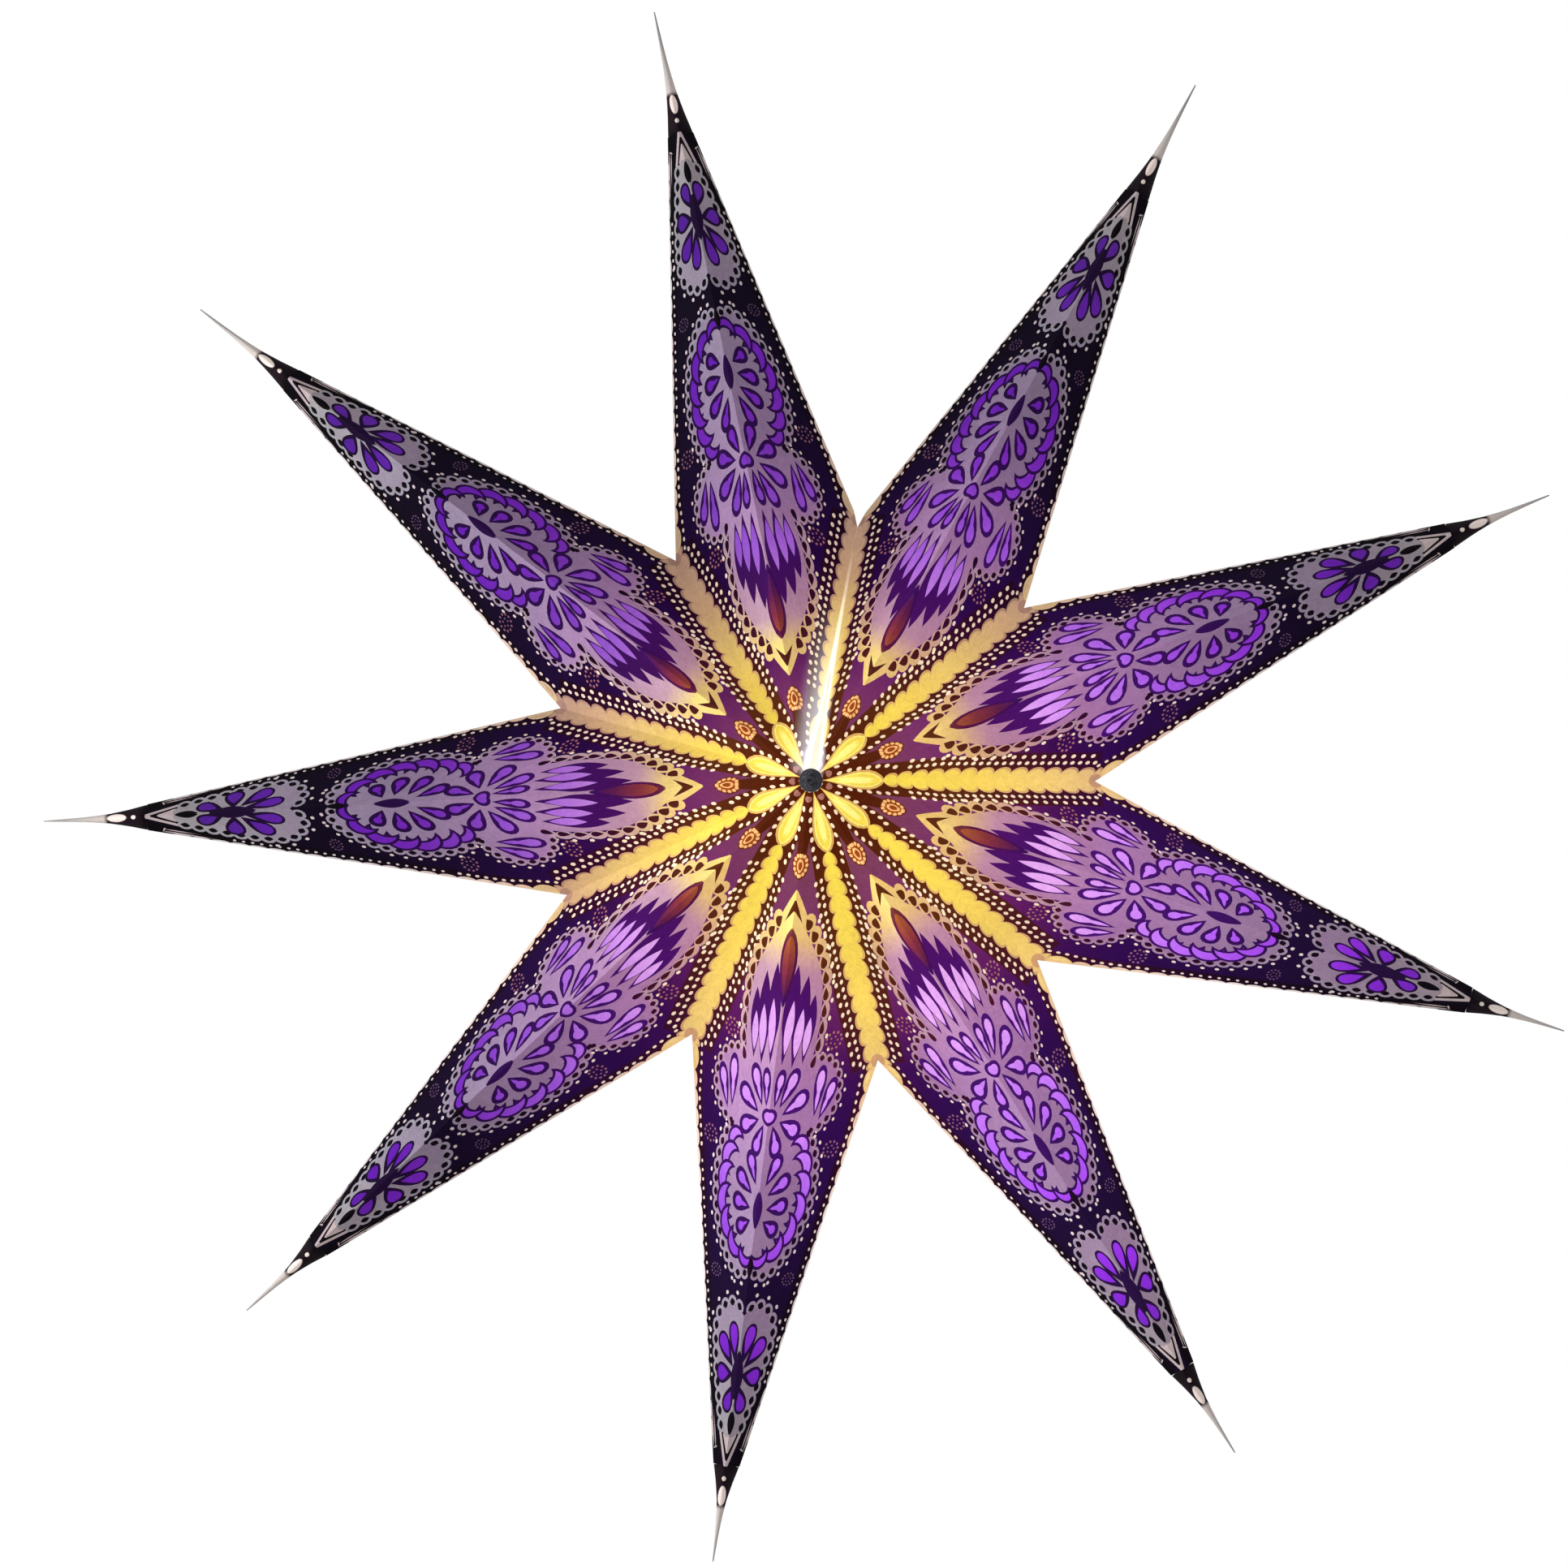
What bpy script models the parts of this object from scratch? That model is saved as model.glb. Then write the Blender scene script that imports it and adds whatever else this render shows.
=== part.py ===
"""Nine-pointed folded paper star lantern with its lamp, in metres, +Z up.

The star hangs in the XZ plane and its front faces -Y. The origin is the cord inlet, on top of the lamp holder's grip,
where the supply cord carries the whole star. Every crease of a point aims at one place beyond the paper, and the
front and back creases of all the points meet in the two hubs, so the star folds up like a fan of flat facets.
"""

import math

import bmesh
import bpy
from mathutils import Matrix, Vector

# Star
POINT_COUNT = 9
TIP_RADIUS = 0.300
NOTCH_RADIUS = 0.1046
HALF_DEPTH = 0.080
BACK_END_EASE = 0.0024
PAPER = 0.0003
HUB_HOLE_RADIUS = 0.005
CORD_NOTCH = 0.0050
SEAM_GAP_AT_HUB = 0.0026
SEAM_GAP_AT_NOTCH = 0.0008

# Where, as a share of the tip's radius, a point's creases would meet, and where its facets stop and the roll starts
CREASE_END_SHARE = 0.95
FACET_END_SHARE = 0.865

# Clearance between pieces that touch
FIT = 0.0003

# Rolled tips: how wide the roll still is at places along its length
ROLL_SHARES = ((0.16, 0.72), (0.36, 0.44), (0.60, 0.22), (1.0, 0.06))

# Thread ties: a wound bead with a groove between its turns
TIE_THREAD = 0.0007
HUB_TIE_TURNS = 2
CLOSING_TIE_TURNS = 3
TIE_LEAST_RADIUS = 0.0010

# Cord grip on the lamp holder
GRIP_BORE_RADIUS = 0.0032
GRIP_RADIUS = 0.0048
GRIP_LENGTH = 0.0080
GRIP_SPIGOT_RADIUS = 0.0042
GRIP_SPIGOT_LENGTH = 0.0030

# Lamp holder
HOLDER_RADIUS = 0.0135
HOLDER_WALL = 0.0016
HOLDER_LIP = 0.0037
CAP_LENGTH = 0.0160
CAP_TOP_RADIUS = 0.0080
CAP_OVERLAP = 0.0050
HOLDER_RIB = 0.0010
HOLDER_RIB_LENGTH = 0.0030
BLOCK_LENGTH = 0.0080
CONTACT_RADIUS = 0.0032
CONTACT_LENGTH = 0.0016
SLEEVE_WALL = 0.0005

# Lamp
LAMP_CAP_RADIUS = 0.0069
LAMP_CAP_LENGTH = 0.0200
LAMP_TIP_RADIUS = 0.0030
LAMP_TIP_LENGTH = 0.0018
THREAD_PITCH = 0.0028
THREAD_DEPTH = 0.0005
THREAD_COUNT = 5
NECK_RADIUS = 0.0112
NECK_LENGTH = 0.0130
GLOBE_RADIUS = 0.0225
GLOBE_WALL = 0.0010
GLOBE_MOUTH_RADIUS = 0.0100

ROUND_STEPS = 24
GLOBE_ARC_STEPS = 9
CAP_ARC_STEPS = 5

# How far each kind of crease turns for each degree at the point opposite the seam, when the star folds up
FIRST_RIDGE_RATIO = 1.0
RIDGE_RATIO = 2.0
VALLEY_RATIO = 2.51
EDGE_RATIO = 1.95
TIP_RATIO = 1.0

# Finishes: colour, roughness, metallic
FINISHES = {
    "printed_paper": ((0.085, 0.030, 0.190, 1.0), 0.75, 0.0),
    "plain_paper": ((0.620, 0.560, 0.520, 1.0), 0.80, 0.0),
    "black_thread": ((0.020, 0.018, 0.022, 1.0), 0.85, 0.0),
    "holder_plastic": ((0.800, 0.790, 0.760, 1.0), 0.40, 0.0),
    "contact_block": ((0.760, 0.730, 0.660, 1.0), 0.60, 0.0),
    "brass": ((0.780, 0.570, 0.260, 1.0), 0.30, 1.0),
    "lamp_metal": ((0.740, 0.740, 0.730, 1.0), 0.28, 1.0),
    "lamp_neck": ((0.900, 0.900, 0.880, 1.0), 0.45, 0.0),
    "opal_globe": ((1.000, 0.960, 0.860, 1.0), 0.35, 0.0),
}

FRONT = -1
BACK = 1
SIDE_NAMES = {FRONT: "front", BACK: "back"}
TURN_NAMES = {1: "ccw", -1: "cw"}
HALF_STEP = math.pi / POINT_COUNT
OPPOSITE_SEAM = -math.pi / 2


def point_offsets():
    """Points counted from the one opposite the seam, as steps round the star: counter-clockwise is positive."""
    reach = POINT_COUNT // 2
    return range(-reach, reach + 1)


def point_number(offset):
    """Points are numbered clockwise from the seam, as seen from the front."""
    return POINT_COUNT // 2 + 1 - offset


def facet_name(side, offset, turn):
    return f"{SIDE_NAMES[side]}_facet_{point_number(offset)}_{TURN_NAMES[turn]}"


def radial(angle):
    """Unit vector in the star's plane, counter-clockwise from +X as seen from the front."""
    return Vector((math.cos(angle), 0.0, math.sin(angle)))


def point_angle(offset):
    return OPPOSITE_SEAM + 2 * HALF_STEP * offset


def hub(side):
    return Vector((0.0, side * HALF_DEPTH, 0.0))


def crease_end(offset):
    """Where the creases of one point would meet."""
    return radial(point_angle(offset)) * TIP_RADIUS * CREASE_END_SHARE


def notch(offset, turn):
    return radial(point_angle(offset) + turn * HALF_STEP) * NOTCH_RADIUS


def facet_normal(side, offset, turn):
    """Outward normal of a facet."""
    start = hub(side)
    normal = (crease_end(offset) - start).cross(notch(offset, turn) - start).normalized()
    return normal if normal.dot(start) > 0 else -normal


def crease_angles():
    """Angles of a facet to its point's middle plane, to its valley's plane and to the star's plane."""
    normal = facet_normal(FRONT, 0, 1)
    ridge = math.acos(abs(normal.dot(radial(point_angle(0) + math.pi / 2))))
    valley = math.acos(abs(normal.dot(radial(point_angle(0) + HALF_STEP + math.pi / 2))))
    return ridge, valley, math.acos(abs(normal.y))


def valley_line_point(offset, turn):
    """A point on the line where the outer faces of two neighbouring front facets meet, about which they fold."""
    first = facet_normal(FRONT, offset, turn)
    second = facet_normal(FRONT, offset + turn, -turn)
    middle = (first + second).normalized()
    return hub(FRONT) + middle * (PAPER / middle.dot(first))


def is_seam(offset, turn):
    return abs(offset) == POINT_COUNT // 2 and turn * offset > 0


def arm_of(offset, turn):
    """Which way round the star, from the point opposite the seam, a facet is hinged on."""
    return turn if offset == 0 else int(math.copysign(1, offset))


def crease_of(side, offset, turn):
    """The facet that this one is hinged to, a place on the crease, its direction and how far it turns.

    A right-handed turn about the direction folds the star up.
    """
    arm = arm_of(offset, turn)
    corner = notch(offset, turn)
    ridge = (hub(FRONT) - crease_end(offset)) * arm
    if side == BACK:
        return (FRONT, offset, turn), corner, (crease_end(offset) - corner) * turn, EDGE_RATIO
    if offset == 0:
        return None, hub(FRONT), ridge, FIRST_RIDGE_RATIO
    if turn == arm:
        return (FRONT, offset, -arm), hub(FRONT), ridge, RIDGE_RATIO
    before = offset - arm
    return (FRONT, before, arm), valley_line_point(before, arm), (corner - hub(FRONT)) * arm, VALLEY_RATIO


def tip_crease_of(offset):
    """A rolled tip stays in its point's middle plane, half way between the two facets at its ridge."""
    arm = arm_of(offset, 1)
    return (FRONT, offset, -arm), hub(FRONT), (hub(FRONT) - crease_end(offset)) * arm, TIP_RATIO


def finish(name):
    """Material with the piece's own colour and gloss."""
    if name in bpy.data.materials:
        return bpy.data.materials[name]
    colour, roughness, metallic = FINISHES[name]
    material = bpy.data.materials.new(name)
    material.use_nodes = True
    shader = material.node_tree.nodes["Principled BSDF"]
    shader.inputs["Base Color"].default_value = colour
    shader.inputs["Roughness"].default_value = roughness
    shader.inputs["Metallic"].default_value = metallic
    return material


def frame_at(place, direction=Vector((0.0, 0.0, 1.0))):
    """Frame at a place given in star coordinates, with its own Z along a direction."""
    turn = Vector((0.0, 0.0, 1.0)).rotation_difference(direction).to_matrix().to_4x4()
    return Matrix.Translation(place - hang_point()) @ turn


def add_crease(name, crease, fold):
    """Empty on a crease, turned about its own Z as the star folds."""
    facet_before, place, direction, ratio = crease
    local = frame_at(place, direction)
    empty = bpy.data.objects.new(f"crease_{name}", None)
    empty.empty_display_size = NOTCH_RADIUS / 10
    if facet_before:
        place_before, direction_before = crease_of(*facet_before)[1:3]
        local = frame_at(place_before, direction_before).inverted() @ local
        empty.parent = bpy.data.objects[f"crease_{facet_name(*facet_before)}"]
    empty.matrix_basis = local @ Matrix.Rotation(math.radians(fold * ratio), 4, "Z")
    bpy.context.scene.collection.objects.link(empty)
    return empty


def add_object(name, bm, finish_name, frame, carrier=None, smooth=False):
    """Links the bmesh, which is in star coordinates, as one object with its origin at the frame."""
    bmesh.ops.remove_doubles(bm, verts=bm.verts, dist=FIT * 0.01)
    bmesh.ops.recalc_face_normals(bm, faces=bm.faces)
    bm.transform(frame.inverted() @ Matrix.Translation(-hang_point()))
    mesh = bpy.data.meshes.new(name)
    bm.to_mesh(mesh)
    bm.free()
    mesh.materials.append(finish(finish_name))
    if smooth:
        mesh.shade_smooth()
        mesh.set_sharp_from_angle(angle=math.radians(35))
    piece = bpy.data.objects.new(name, mesh)
    piece.parent = carrier
    if not carrier:
        piece.matrix_basis = frame
    bpy.context.scene.collection.objects.link(piece)
    return piece


def cut(bm, place, outward):
    """Takes away what lies beyond a plane."""
    geometry = bm.verts[:] + bm.edges[:] + bm.faces[:]
    bmesh.ops.bisect_plane(
        bm,
        geom=geometry,
        dist=FIT * 0.001,
        plane_co=place,
        plane_no=outward,
        clear_outer=True,
    )


def facet(side, offset, turn, fold):
    """One flat facet: the triangle of hub, crease end and notch, drawn back from its creases and thickened outwards."""
    name = facet_name(side, offset, turn)
    crease = crease_of(side, offset, turn)
    ridge_angle, valley_angle, edge_angle = crease_angles()
    start = hub(side)
    end = crease_end(offset)
    corner = notch(offset, turn)
    normal = facet_normal(side, offset, turn)
    middle = (start + end + corner) / 3

    def outward_from(first, second):
        direction = normal.cross(second - first).normalized()
        return direction if direction.dot(middle - first) < 0 else -direction

    bm = bmesh.new()
    bm.faces.new([bm.verts.new(place) for place in (start, end, corner)])

    ridge_out = outward_from(start, end)
    cut(bm, start - ridge_out * (FIT / 2 / math.sin(ridge_angle)), ridge_out)
    edge_out = outward_from(end, corner)
    cut(bm, end - edge_out * (FIT / 2 / math.sin(edge_angle)), edge_out)

    valley_out = outward_from(start, corner)
    gap_at_hub = SEAM_GAP_AT_HUB if is_seam(offset, turn) else FIT
    gap_at_notch = SEAM_GAP_AT_NOTCH if is_seam(offset, turn) else FIT
    mitre = PAPER / math.tan(valley_angle)
    hub_inset = start - valley_out * (mitre + gap_at_hub / 2 / math.sin(valley_angle))
    notch_inset = corner - valley_out * (mitre + gap_at_notch / 2 / math.sin(valley_angle))
    cut(bm, hub_inset, outward_from(hub_inset, notch_inset))
    if is_seam(offset, turn):
        into_valley = (start - corner).normalized()
        cut(bm, corner + into_valley * CORD_NOTCH, -(into_valley + (end - corner).normalized()).normalized())

    towards_hub = -((end - start).normalized() + (corner - start).normalized()).normalized()
    cut(bm, start - towards_hub * HUB_HOLE_RADIUS, towards_hub)
    outwards = radial(point_angle(offset))
    ease = BACK_END_EASE if side == BACK else 0
    cut(bm, outwards * (TIP_RADIUS * FACET_END_SHARE - ease), outwards)

    thick = bmesh.ops.extrude_face_region(bm, geom=bm.faces[:])
    raised = [item for item in thick["geom"] if isinstance(item, bmesh.types.BMVert)]
    bmesh.ops.translate(bm, verts=raised, vec=normal * PAPER)
    return add_object(name, bm, "printed_paper", frame_at(*crease[1:3]), carrier=add_crease(name, crease, fold))


def rolled_tip(offset, fold):
    """The paper's unprinted end, rolled to a thin tail: a four-sided section drawn out along the point."""
    name = f"rolled_tip_{point_number(offset)}"
    outwards = radial(point_angle(offset))
    sideways = radial(point_angle(offset) + math.pi / 2)
    crease_radius = TIP_RADIUS * CREASE_END_SHARE
    facet_end = TIP_RADIUS * FACET_END_SHARE
    left_over = crease_radius - facet_end
    notch_out = NOTCH_RADIUS * math.cos(HALF_STEP)
    half_width = NOTCH_RADIUS * math.sin(HALF_STEP) * left_over / (crease_radius - notch_out)
    half_depth = HALF_DEPTH * left_over / crease_radius
    start_radius = facet_end + FIT
    length = TIP_RADIUS - start_radius

    bm = bmesh.new()
    middle = outwards * start_radius
    across = (sideways * half_width, Vector((0.0, half_depth, 0.0)))
    corners = (middle + across[0], middle + across[1], middle - across[0], middle - across[1])
    section = bm.faces.new([bm.verts.new(place) for place in corners])
    inner_sections = []
    width_before = 1.0
    along_before = 0.0
    for along, width in ROLL_SHARES:
        region = bmesh.ops.extrude_face_region(bm, geom=[section])["geom"]
        section = next(item for item in region if isinstance(item, bmesh.types.BMFace))
        centre = Matrix.Translation(-(middle + outwards * length * along_before))
        bmesh.ops.scale(bm, verts=section.verts, vec=Vector((1, 1, 1)) * (width / width_before), space=centre)
        bmesh.ops.translate(bm, verts=section.verts, vec=outwards * length * (along - along_before))
        inner_sections.append(section)
        width_before = width
        along_before = along
    bmesh.ops.delete(bm, geom=inner_sections[:-1], context="FACES_ONLY")
    if offset == 0:
        return add_object(name, bm, "plain_paper", frame_at(middle))
    crease = tip_crease_of(offset)
    return add_object(name, bm, "plain_paper", frame_at(*crease[1:3]), carrier=add_crease(name, crease, fold))


def turned(name, outline, finish_name, centre=Vector(), axis=Vector((0.0, 0.0, 1.0)), steps=ROUND_STEPS):
    """Solid of revolution: the outline's (radius, height) pairs close on themselves and turn about an axis at centre."""
    bm = bmesh.new()
    verts = [bm.verts.new((radius, 0.0, height)) for radius, height in outline]
    edges = [bm.edges.new((verts[i - 1], verts[i])) for i in range(len(verts))]
    bmesh.ops.spin(
        bm,
        geom=verts + edges,
        cent=Vector(),
        axis=Vector((0.0, 0.0, 1.0)),
        angle=2 * math.pi,
        steps=steps,
        use_merge=True,
    )
    bmesh.ops.dissolve_degenerate(bm, edges=bm.edges, dist=FIT * 0.01)
    frame = frame_at(centre, axis)
    bm.transform(Matrix.Translation(hang_point()) @ frame)
    return add_object(name, bm, finish_name, frame, smooth=True)


def wound_outline(inner, turns, thread, wraps):
    """Outline of a thread wound side by side: a bead for each turn on the outside, flat on the inside."""
    height = 2 * thread * turns
    outline = [(inner, -height / 2), (inner, height / 2)]
    outer = inner + 2 * thread * wraps
    bead_steps = 4
    for turn in range(turns):
        middle = height / 2 - thread * (2 * turn + 1)
        for step in range(bead_steps):
            angle = math.pi / 2 - math.pi * (step + 0.5) / bead_steps
            outline.append((outer - thread + thread * math.cos(angle), middle + thread * math.sin(angle)))
    return outline


def hub_tie(side):
    """The thread that gathers the points at a hub, wound into a flat bead inside the hub's hole."""
    outer = HUB_HOLE_RADIUS - 2 * FIT
    wraps = (outer - TIE_LEAST_RADIUS) / (2 * TIE_THREAD)
    outline = wound_outline(TIE_LEAST_RADIUS, HUB_TIE_TURNS, TIE_THREAD, wraps)
    inwards = Vector((0.0, -side, 0.0))
    centre = hub(side) + inwards * TIE_THREAD
    return turned(f"hub_tie_{SIDE_NAMES[side]}", outline, "black_thread", centre, axis=inwards)


def lamp_levels():
    """Heights of the lamp's pieces, below the top of the cord grip."""
    cap_top = -GRIP_LENGTH
    cap_rim = cap_top - CAP_LENGTH
    block_top = cap_rim - FIT
    block_base = block_top - BLOCK_LENGTH
    contact_base = block_base - FIT - CONTACT_LENGTH
    lamp_tip = contact_base - FIT
    lamp_cap_base = lamp_tip - LAMP_TIP_LENGTH - LAMP_CAP_LENGTH
    return {
        "cap_top": cap_top,
        "cap_rim": cap_rim,
        "shell_rim": lamp_cap_base - HOLDER_LIP,
        "block_top": block_top,
        "block_base": block_base,
        "contact_base": contact_base,
        "lamp_tip": lamp_tip,
        "globe_top": lamp_cap_base - NECK_LENGTH,
    }


def cap_arc(radius, top_radius, height, steps):
    """Quarter-ellipse from the top radius out to the full radius, as (radius, height) pairs."""
    return [
        (
            top_radius + (radius - top_radius) * math.sin(math.pi / 2 * step / steps),
            height * math.cos(math.pi / 2 * step / steps) - height,
        )
        for step in range(steps + 1)
    ]


def dome_height():
    return CAP_LENGTH - CAP_OVERLAP


def cap_outer():
    """The domed cap's outside, top to bottom, below the cap's top."""
    dome = cap_arc(HOLDER_RADIUS, CAP_TOP_RADIUS, dome_height(), CAP_ARC_STEPS)
    return dome + [(HOLDER_RADIUS, -CAP_LENGTH)]


def hang_point():
    """Top of the cord grip in star coordinates: as high as it goes before the tie, grip or cap meets the seam."""
    normal = facet_normal(FRONT, POINT_COUNT // 2, 1)
    reach = normal.dot(hub(FRONT)) - FIT + abs(normal.x) * SEAM_GAP_AT_NOTCH / 2
    towards_seam = Vector((abs(normal.y), normal.z)).normalized() * TIE_THREAD
    bead_radius = GRIP_RADIUS + FIT + TIE_THREAD
    bead_height = TIE_THREAD * (CLOSING_TIE_TURNS - 1) - GRIP_LENGTH / 2
    rims = [(bead_radius + towards_seam.x, bead_height + towards_seam.y), (GRIP_RADIUS, 0.0)]
    rims += [(radius, height - GRIP_LENGTH) for radius, height in cap_outer()]
    top = min((reach - radius * abs(normal.y)) / normal.z - height for radius, height in rims)
    return Vector((0.0, 0.0, top))


def closing_tie():
    """The thread that closes the seam's top, wound round the cord grip."""
    outline = wound_outline(GRIP_RADIUS + FIT, CLOSING_TIE_TURNS, TIE_THREAD, 1)
    centre = hang_point() + Vector((0.0, 0.0, -GRIP_LENGTH / 2))
    return turned("closing_tie", outline, "black_thread", centre)


def cord_grip():
    """Nylon grip where the cord goes in: a bored collar on a narrower spigot."""
    outline = [
        (GRIP_BORE_RADIUS, 0.0),
        (GRIP_BORE_RADIUS, -GRIP_LENGTH - GRIP_SPIGOT_LENGTH),
        (GRIP_SPIGOT_RADIUS, -GRIP_LENGTH - GRIP_SPIGOT_LENGTH),
        (GRIP_SPIGOT_RADIUS, -GRIP_LENGTH + FIT),
        (GRIP_RADIUS, -GRIP_LENGTH + FIT),
        (GRIP_RADIUS, 0.0),
    ]
    return turned("cord_grip", outline, "holder_plastic", hang_point())


def holder_cap():
    """Domed cap of the lamp holder, hollow, with a hole for the grip's spigot."""
    top = lamp_levels()["cap_top"]
    hole = GRIP_SPIGOT_RADIUS + FIT
    outer = cap_outer()
    inner_radius = HOLDER_RADIUS - HOLDER_WALL
    inner = cap_arc(inner_radius, CAP_TOP_RADIUS - HOLDER_WALL, dome_height() - HOLDER_WALL, CAP_ARC_STEPS)
    outline = [(hole, top)] + [(radius, top + height) for radius, height in outer]
    outline += [(inner_radius, top - CAP_LENGTH)]
    outline += [(radius, top - HOLDER_WALL + height) for radius, height in reversed(inner)]
    outline += [(hole, top - HOLDER_WALL)]
    return turned("holder_cap", outline, "holder_plastic", hang_point())


def holder_shell():
    """Lower shell of the lamp holder, with the spigot that the cap screws onto and two grip ribs at its mouth."""
    levels = lamp_levels()
    rim = levels["cap_rim"]
    bore = HOLDER_RADIUS - 2 * HOLDER_WALL - FIT
    spigot = HOLDER_RADIUS - HOLDER_WALL - FIT
    base = levels["shell_rim"]
    outline = [
        (bore, rim + CAP_OVERLAP),
        (spigot, rim + CAP_OVERLAP),
        (spigot, rim - FIT),
        (HOLDER_RADIUS, rim - FIT),
        (HOLDER_RADIUS, base + 3 * HOLDER_RIB_LENGTH),
        (HOLDER_RADIUS - HOLDER_RIB, base + 3 * HOLDER_RIB_LENGTH),
        (HOLDER_RADIUS - HOLDER_RIB, base + 2 * HOLDER_RIB_LENGTH),
        (HOLDER_RADIUS, base + 2 * HOLDER_RIB_LENGTH),
        (HOLDER_RADIUS, base + HOLDER_RIB),
        (HOLDER_RADIUS - HOLDER_RIB, base),
        (bore, base),
    ]
    return turned("holder_shell", outline, "holder_plastic", hang_point())


def block_radius():
    return HOLDER_RADIUS - 2 * HOLDER_WALL - 2 * FIT


def contact_block():
    """Insulating block across the holder, with two wire holes left to its centre bore."""
    levels = lamp_levels()
    bore = CONTACT_RADIUS - SLEEVE_WALL * 2
    outline = [
        (bore, levels["block_top"]),
        (bore, levels["block_base"]),
        (block_radius(), levels["block_base"]),
        (block_radius(), levels["block_top"]),
    ]
    return turned("contact_block", outline, "contact_block", hang_point())


def centre_contact():
    """Brass contact under the block, with a stem up its bore."""
    levels = lamp_levels()
    stem = CONTACT_RADIUS - SLEEVE_WALL * 2 - FIT
    base = levels["contact_base"]
    top = levels["block_base"] - FIT
    outline = [
        (0.0, base),
        (CONTACT_RADIUS, base),
        (CONTACT_RADIUS, top),
        (stem, top),
        (stem, levels["block_top"]),
        (0.0, levels["block_top"]),
    ]
    return turned("centre_contact", outline, "brass", hang_point())


def socket_sleeve():
    """Threaded brass sleeve that the lamp screws into, flanged out to the shell at its top."""
    levels = lamp_levels()
    inner = LAMP_CAP_RADIUS + FIT
    outer = inner + SLEEVE_WALL
    top = levels["block_base"] - FIT
    base = levels["shell_rim"] + HOLDER_RIB_LENGTH
    outline = [
        (inner, base),
        (outer, base),
        (outer, top - SLEEVE_WALL * 2),
        (block_radius(), top - SLEEVE_WALL * 2),
        (block_radius(), top),
        (inner, top),
    ]
    return turned("socket_sleeve", outline, "brass", hang_point())


def lamp_cap():
    """Screw cap of the lamp with its contact tip and rolled thread."""
    top = lamp_levels()["lamp_tip"]
    shoulder = top - LAMP_TIP_LENGTH
    base = shoulder - LAMP_CAP_LENGTH
    root = LAMP_CAP_RADIUS - THREAD_DEPTH
    outline = [(0.0, base), (root, base)]
    first = shoulder - THREAD_PITCH * (THREAD_COUNT + 0.5)
    for turn in range(THREAD_COUNT):
        low = first + THREAD_PITCH * turn
        outline += [
            (root, low),
            (LAMP_CAP_RADIUS, low + THREAD_PITCH * 0.35),
            (LAMP_CAP_RADIUS, low + THREAD_PITCH * 0.65),
        ]
    outline += [
        (root, shoulder - THREAD_PITCH / 2),
        (LAMP_TIP_RADIUS * 1.5, shoulder),
        (LAMP_TIP_RADIUS, shoulder),
        (LAMP_TIP_RADIUS * 0.75, top),
        (0.0, top),
    ]
    return turned("lamp_cap", outline, "lamp_metal", hang_point())


def lamp_neck():
    """White neck between the screw cap and the globe."""
    globe_top = lamp_levels()["globe_top"]
    top = globe_top + NECK_LENGTH - FIT
    seat = GLOBE_MOUTH_RADIUS - GLOBE_WALL - FIT
    outline = [
        (0.0, top),
        (LAMP_CAP_RADIUS - THREAD_DEPTH, top),
        (LAMP_CAP_RADIUS, top - NECK_LENGTH * 0.12),
        (NECK_RADIUS, top - NECK_LENGTH * 0.62),
        (NECK_RADIUS, globe_top + FIT),
        (seat, globe_top + FIT),
        (seat, globe_top - NECK_LENGTH * 0.25),
        (0.0, globe_top - NECK_LENGTH * 0.25),
    ]
    return turned("lamp_neck", outline, "lamp_neck", hang_point())


def globe_arc(radius, mouth, steps):
    """From the bottom pole up to the mouth, as (radius, height above the globe's centre) pairs."""
    last = math.pi - math.asin(mouth / radius)
    return [
        (radius * math.sin(last * step / steps), -radius * math.cos(last * step / steps))
        for step in range(steps + 1)
    ]


def lamp_globe():
    """Opal globe, a thin shell open at its mouth."""
    mouth_height = math.sqrt(GLOBE_RADIUS**2 - GLOBE_MOUTH_RADIUS**2)
    centre = lamp_levels()["globe_top"] - mouth_height
    outer = globe_arc(GLOBE_RADIUS, GLOBE_MOUTH_RADIUS, GLOBE_ARC_STEPS)
    inner = globe_arc(GLOBE_RADIUS - GLOBE_WALL, GLOBE_MOUTH_RADIUS - GLOBE_WALL, GLOBE_ARC_STEPS)
    outline = [(radius, centre + height) for radius, height in outer]
    outline += [(radius, centre + height) for radius, height in reversed(inner)]
    return turned("lamp_globe", outline, "opal_globe", hang_point())


def clear_scene():
    for item in list(bpy.data.objects):
        bpy.data.objects.remove(item)


def main(fold=0.0):
    """Builds the lantern. Each piece is hung on its crease, so fold, in degrees, shows it folded up."""
    clear_scene()
    for offset in sorted(point_offsets(), key=abs):
        arm = arm_of(offset, 1)
        for side in (FRONT, BACK):
            facet(side, offset, -arm, fold)
            facet(side, offset, arm, fold)
        rolled_tip(offset, fold)
    hub_tie(FRONT)
    hub_tie(BACK)
    closing_tie()
    cord_grip()
    holder_cap()
    holder_shell()
    contact_block()
    centre_contact()
    socket_sleeve()
    lamp_cap()
    lamp_neck()
    lamp_globe()


if __name__ == "__main__":
    main()
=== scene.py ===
"""Looks of the folded paper star lantern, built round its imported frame.

Each flat facet of the frame is replaced by a sheet of printed paper. Its ornament is laid out in the facet's
own plane: u runs along the ridge crease from the hub to the tip, and v from the ridge towards the notch.
Lengths in the layout are millimetres, because the ornament is small. All other lengths are metres.
"""

import math

import bmesh
import bpy
from mathutils import Matrix, Vector
from mathutils.geometry import convex_hull_2d, delaunay_2d_cdt


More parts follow.
